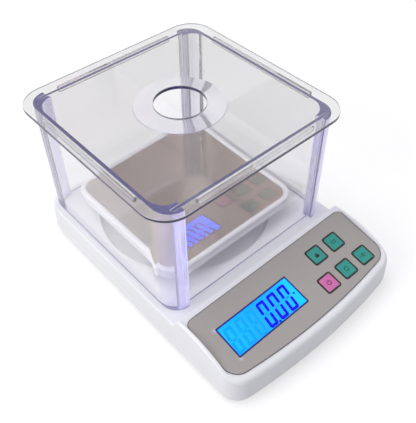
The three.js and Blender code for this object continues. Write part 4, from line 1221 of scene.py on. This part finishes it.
# Keys. Five square caps behind the overlay's cut-outs, each with a black rim, a coloured pad and a small
# dark sign. A stem under each cap reaches down to its switch.
pad_rim = 0.25 * mm
rim_print_width = 1.0 * mm
key_thickness = 1.0 * mm
key_edge = 0.2 * mm
key_edge_steps = 3
pad_rise = 0.04 * mm
key_rise = 0.15 * mm
key_top = film_top + key_rise
stem_radius = 2.6 * mm
stem_sides = 32
stem_clearance = 0.9 * mm
sign_stroke = 0.55 * mm
sign_reach = 2.3 * mm
line_share = sign_stroke / sign_reach
arrow_share = 2.4 * line_share
bend_steps = 20
pad_share = 0.7
facing_share = 0.5
teal = printed_film("teal key film", (0.018, 0.27, 0.235), (0.026, 0.335, 0.29), (0.35, 0.45))
pink = printed_film("pink key film", (0.6, 0.14, 0.38), (0.7, 0.185, 0.45), (0.35, 0.45))
black_ink = printed_film("black ink", (0.006, 0.006, 0.007), (0.011, 0.011, 0.012), (0.35, 0.45))
panel_normal = panel_frame.to_3x3() @ Vector(up)


def key_cap(name, node):
    """A cap with a rounded edge and a slightly raised pad, and its stem."""
    centre = on_panel(node).xy
    low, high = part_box(node)
    stem_foot = (panel_back @ Vector((0, (low.y + high.y) / 2, low.z))).z + stem_clearance
    levels = (
        [(key_edge, key_top - key_thickness), (0, key_top - key_thickness + key_edge)]
        + round_over(key_edge, key_top - pad_rise, key_edge_steps)
        + [(pad_rim, key_top - pad_rise), (pad_rim + pad_rise, key_top)])
    outline = round_square(key_half, key_half, key_corner, box_steps)
    cap = body_of_rings(name, level_rings(outline, levels, centre))
    stem = turned(name + "_stem", [(stem_radius - key_edge, stem_foot), (stem_radius, stem_foot + key_edge),
                                   (stem_radius, key_top - key_thickness / 2)], stem_sides, centre)
    whole = joined(name, cap, [stem])
    whole.data.transform(panel_frame)
    return whole


def bend(x, y, radius_share, start, end):
    """A round stroke between two angles, in degrees."""
    outer, inner = [arc((x, y), radius_share * sign_reach + way * sign_stroke / 2, math.radians(start),
                        math.radians(end), bend_steps) for way in (1, -1)]
    return [outer + inner[::-1]]


def arrow(x, y, way_share):
    """A solid triangle that points along X."""
    half = arrow_share * sign_reach / 2
    tip = way_share * half
    return [[(x - tip, y - half), (x + tip, y), (x - tip, y + half)]]


def tile(x, y, *outlines):
    """A shape with round corners and its cut-out, from the shares of their halves and corners."""
    return [round_box(half_x * sign_reach, half_y * sign_reach, corner * sign_reach, x, y, steps)
            for half_x, half_y, corner, steps in outlines]


# What draws each shape, its place and its sizes, as shares of sign_reach. A bend also has its two angles
# in degrees, a tile the number of steps round each corner.
bar_shares = (line_share / 2, 0.5, 0.45 * line_share, 3)
dot_shares = (line_share, line_share, 0.95 * line_share, 4)
zero_shares = (0.42, 0.75, 0.38, 5)
hole_shares = (0.42 - line_share, 0.75 - line_share, 0.38 - 0.6 * line_share, 5)
sign_shares = {
    "key_power": [(bend, 0, 0, 0.8, 120, 420), (tile, 0, 0.55, bar_shares)],
    "key_hold": [(tile, 0, -0.45, (0.8, 0.55, line_share, 4)), (bend, 0, 0.05, 0.5, 0, 180)],
    "key_count": [(tile, x, y, dot_shares) for x in (-0.8, 0, 0.8) for y in (-0.4, 0.4)],
    "key_mode": [(bend, 0, 0, 0.8, 30, 170), (bend, 0, 0, 0.8, 210, 350),
                 (arrow, -0.85, -0.2 * line_share, -0.6), (arrow, 0.85, 0.2 * line_share, 0.6)],
    "key_tare": [(tile, 0, 0, zero_shares, hole_shares), (arrow, -1.05, 0, 1), (arrow, 1.05, 0, -1)],
}


def sign_shapes(key):
    """Outlines of one key's sign: each item is a filled shape with its cut-out."""
    middle = on_panel(key)
    return [draw(middle.x + x * sign_reach, middle.y + y * sign_reach, *shares)
            for draw, x, y, *shares in sign_shares[key]]


def is_pad(face):
    """1 on a cap's flat top, inside its rim, and 0 elsewhere."""
    above = (panel_back @ face.center).z - key_top + pad_rise * pad_share
    return int(above > 0 and face.normal.dot(panel_normal) > facing_share)


for node, body in key_names.items():
    slot, pad = ("pink_key", pink) if node == "key_power" else ("teal_key", teal)
    cap = key_cap(node.replace("key_", "cap_"), node)
    finish_piece(cap, body, [black_ink, pad], [node], is_pad)
    rim = [key_box(node, seat_gap + rim_print_width, key_corner + rim_print_width),
           key_box(node, seat_gap, key_corner)]
    printed(node.replace("key_", "rim_"), rim, film_top + ink_lift, "base", black_ink)
    for number, outlines in enumerate(sign_shapes(node)):
        printed(f"{node.replace('key_', 'sign_')}_{number}", outlines, key_top + ink_lift / 2, body,
                black_ink)


# Main board. A green circuit board under the panel with a switch below each key and the controller chip
# on its lower face, held by four screws in the upper housing's posts.
board_screws = [f"board_screw_{number}" for number in range(1, 5)]
board_head = 1.3 * mm
board_head_radius = 2.1 * mm
board_shank = 1.1 * mm
board_length = 5.3 * mm


def circuit_board():
    """Solder mask over copper tracks: a shade lighter along the tracks, with a slight relief."""
    material, tree = new_material("solder mask")
    tracks = add(tree, "ShaderNodeTexBrick", Vector=place_of(tree), Scale=160,
                 Mortar_Size=0.06).outputs["Fac"]
    principled(tree, Coat_Weight=0.4, Coat_Roughness=0.15,
               Base_Color=shades(tree, tracks, (0.012, 0.11, 0.035), (0.03, 0.2, 0.07), low=0.2, high=0.8),
               Roughness=spread(tree, noise(tree, scale=80, detail=3), low=0.35, high=0.5),
               Normal=grain(tree, tracks, strength=0.3, depth=0.05 * mm))
    return material


repaint(circuit_board(), "main_board")
repaint(black, "controller_chip", "switch_hold", "switch_count", "switch_power", "switch_mode",
        "switch_tare")
board_points = [tuple(sum(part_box(node), Vector()) / 2 - panel_normal * (board_head + board_length) / 2)
                for node in board_screws]
board_set = screw_set("board_screw_set", board_points, tuple(panel_normal), board_head_radius, board_head,
                      board_shank, board_length, zinc)
finish_piece(board_set, "base", [zinc], board_screws)


# Battery cells and contacts. Two cells lie side by side in a dark printed sleeve, each with a light band
# at its positive end, between plated contacts at the tub's ends.
def cell_sleeve():
    """Glossy dark sleeve with a light band."""
    material, tree = new_material("cell sleeve")
    low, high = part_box("battery_cell_inner")
    along = spread(tree, axis_of(tree, "Y"), 0, 1, low.y, high.y)
    principled(tree, Coat_Weight=0.5, Coat_Roughness=0.1,
               Base_Color=shades(tree, along, (0.03, 0.034, 0.045), (0.5, 0.38, 0.1), low=0.78, high=0.8),
               Roughness=spread(tree, noise(tree, scale=200, detail=3), low=0.22, high=0.35))
    return material


repaint(cell_sleeve(), "battery_cell_inner", "battery_cell_outer")
repaint(zinc, "contact_bridge", "contact_negative", "contact_positive")


# Battery door. A white moulded plate in a seat in the floor tray, hooked at one long edge, with ribs for
# a fingertip at the other.
door_edge = 0.3 * mm
softened_part("battery_door", "battery_cover", door_edge, "door", moulded_white)


# Leads. Two sheathed bundles of thin wires that lie on the floor tray, from the load cell and from the
# battery contacts up to the main board.
sheath = moulded_plastic("lead sheath", (0.2, 0.024, 0.024), (0.28, 0.036, 0.036), (0.4, 0.55))
repaint(sheath, "load_cell_lead", "battery_lead")
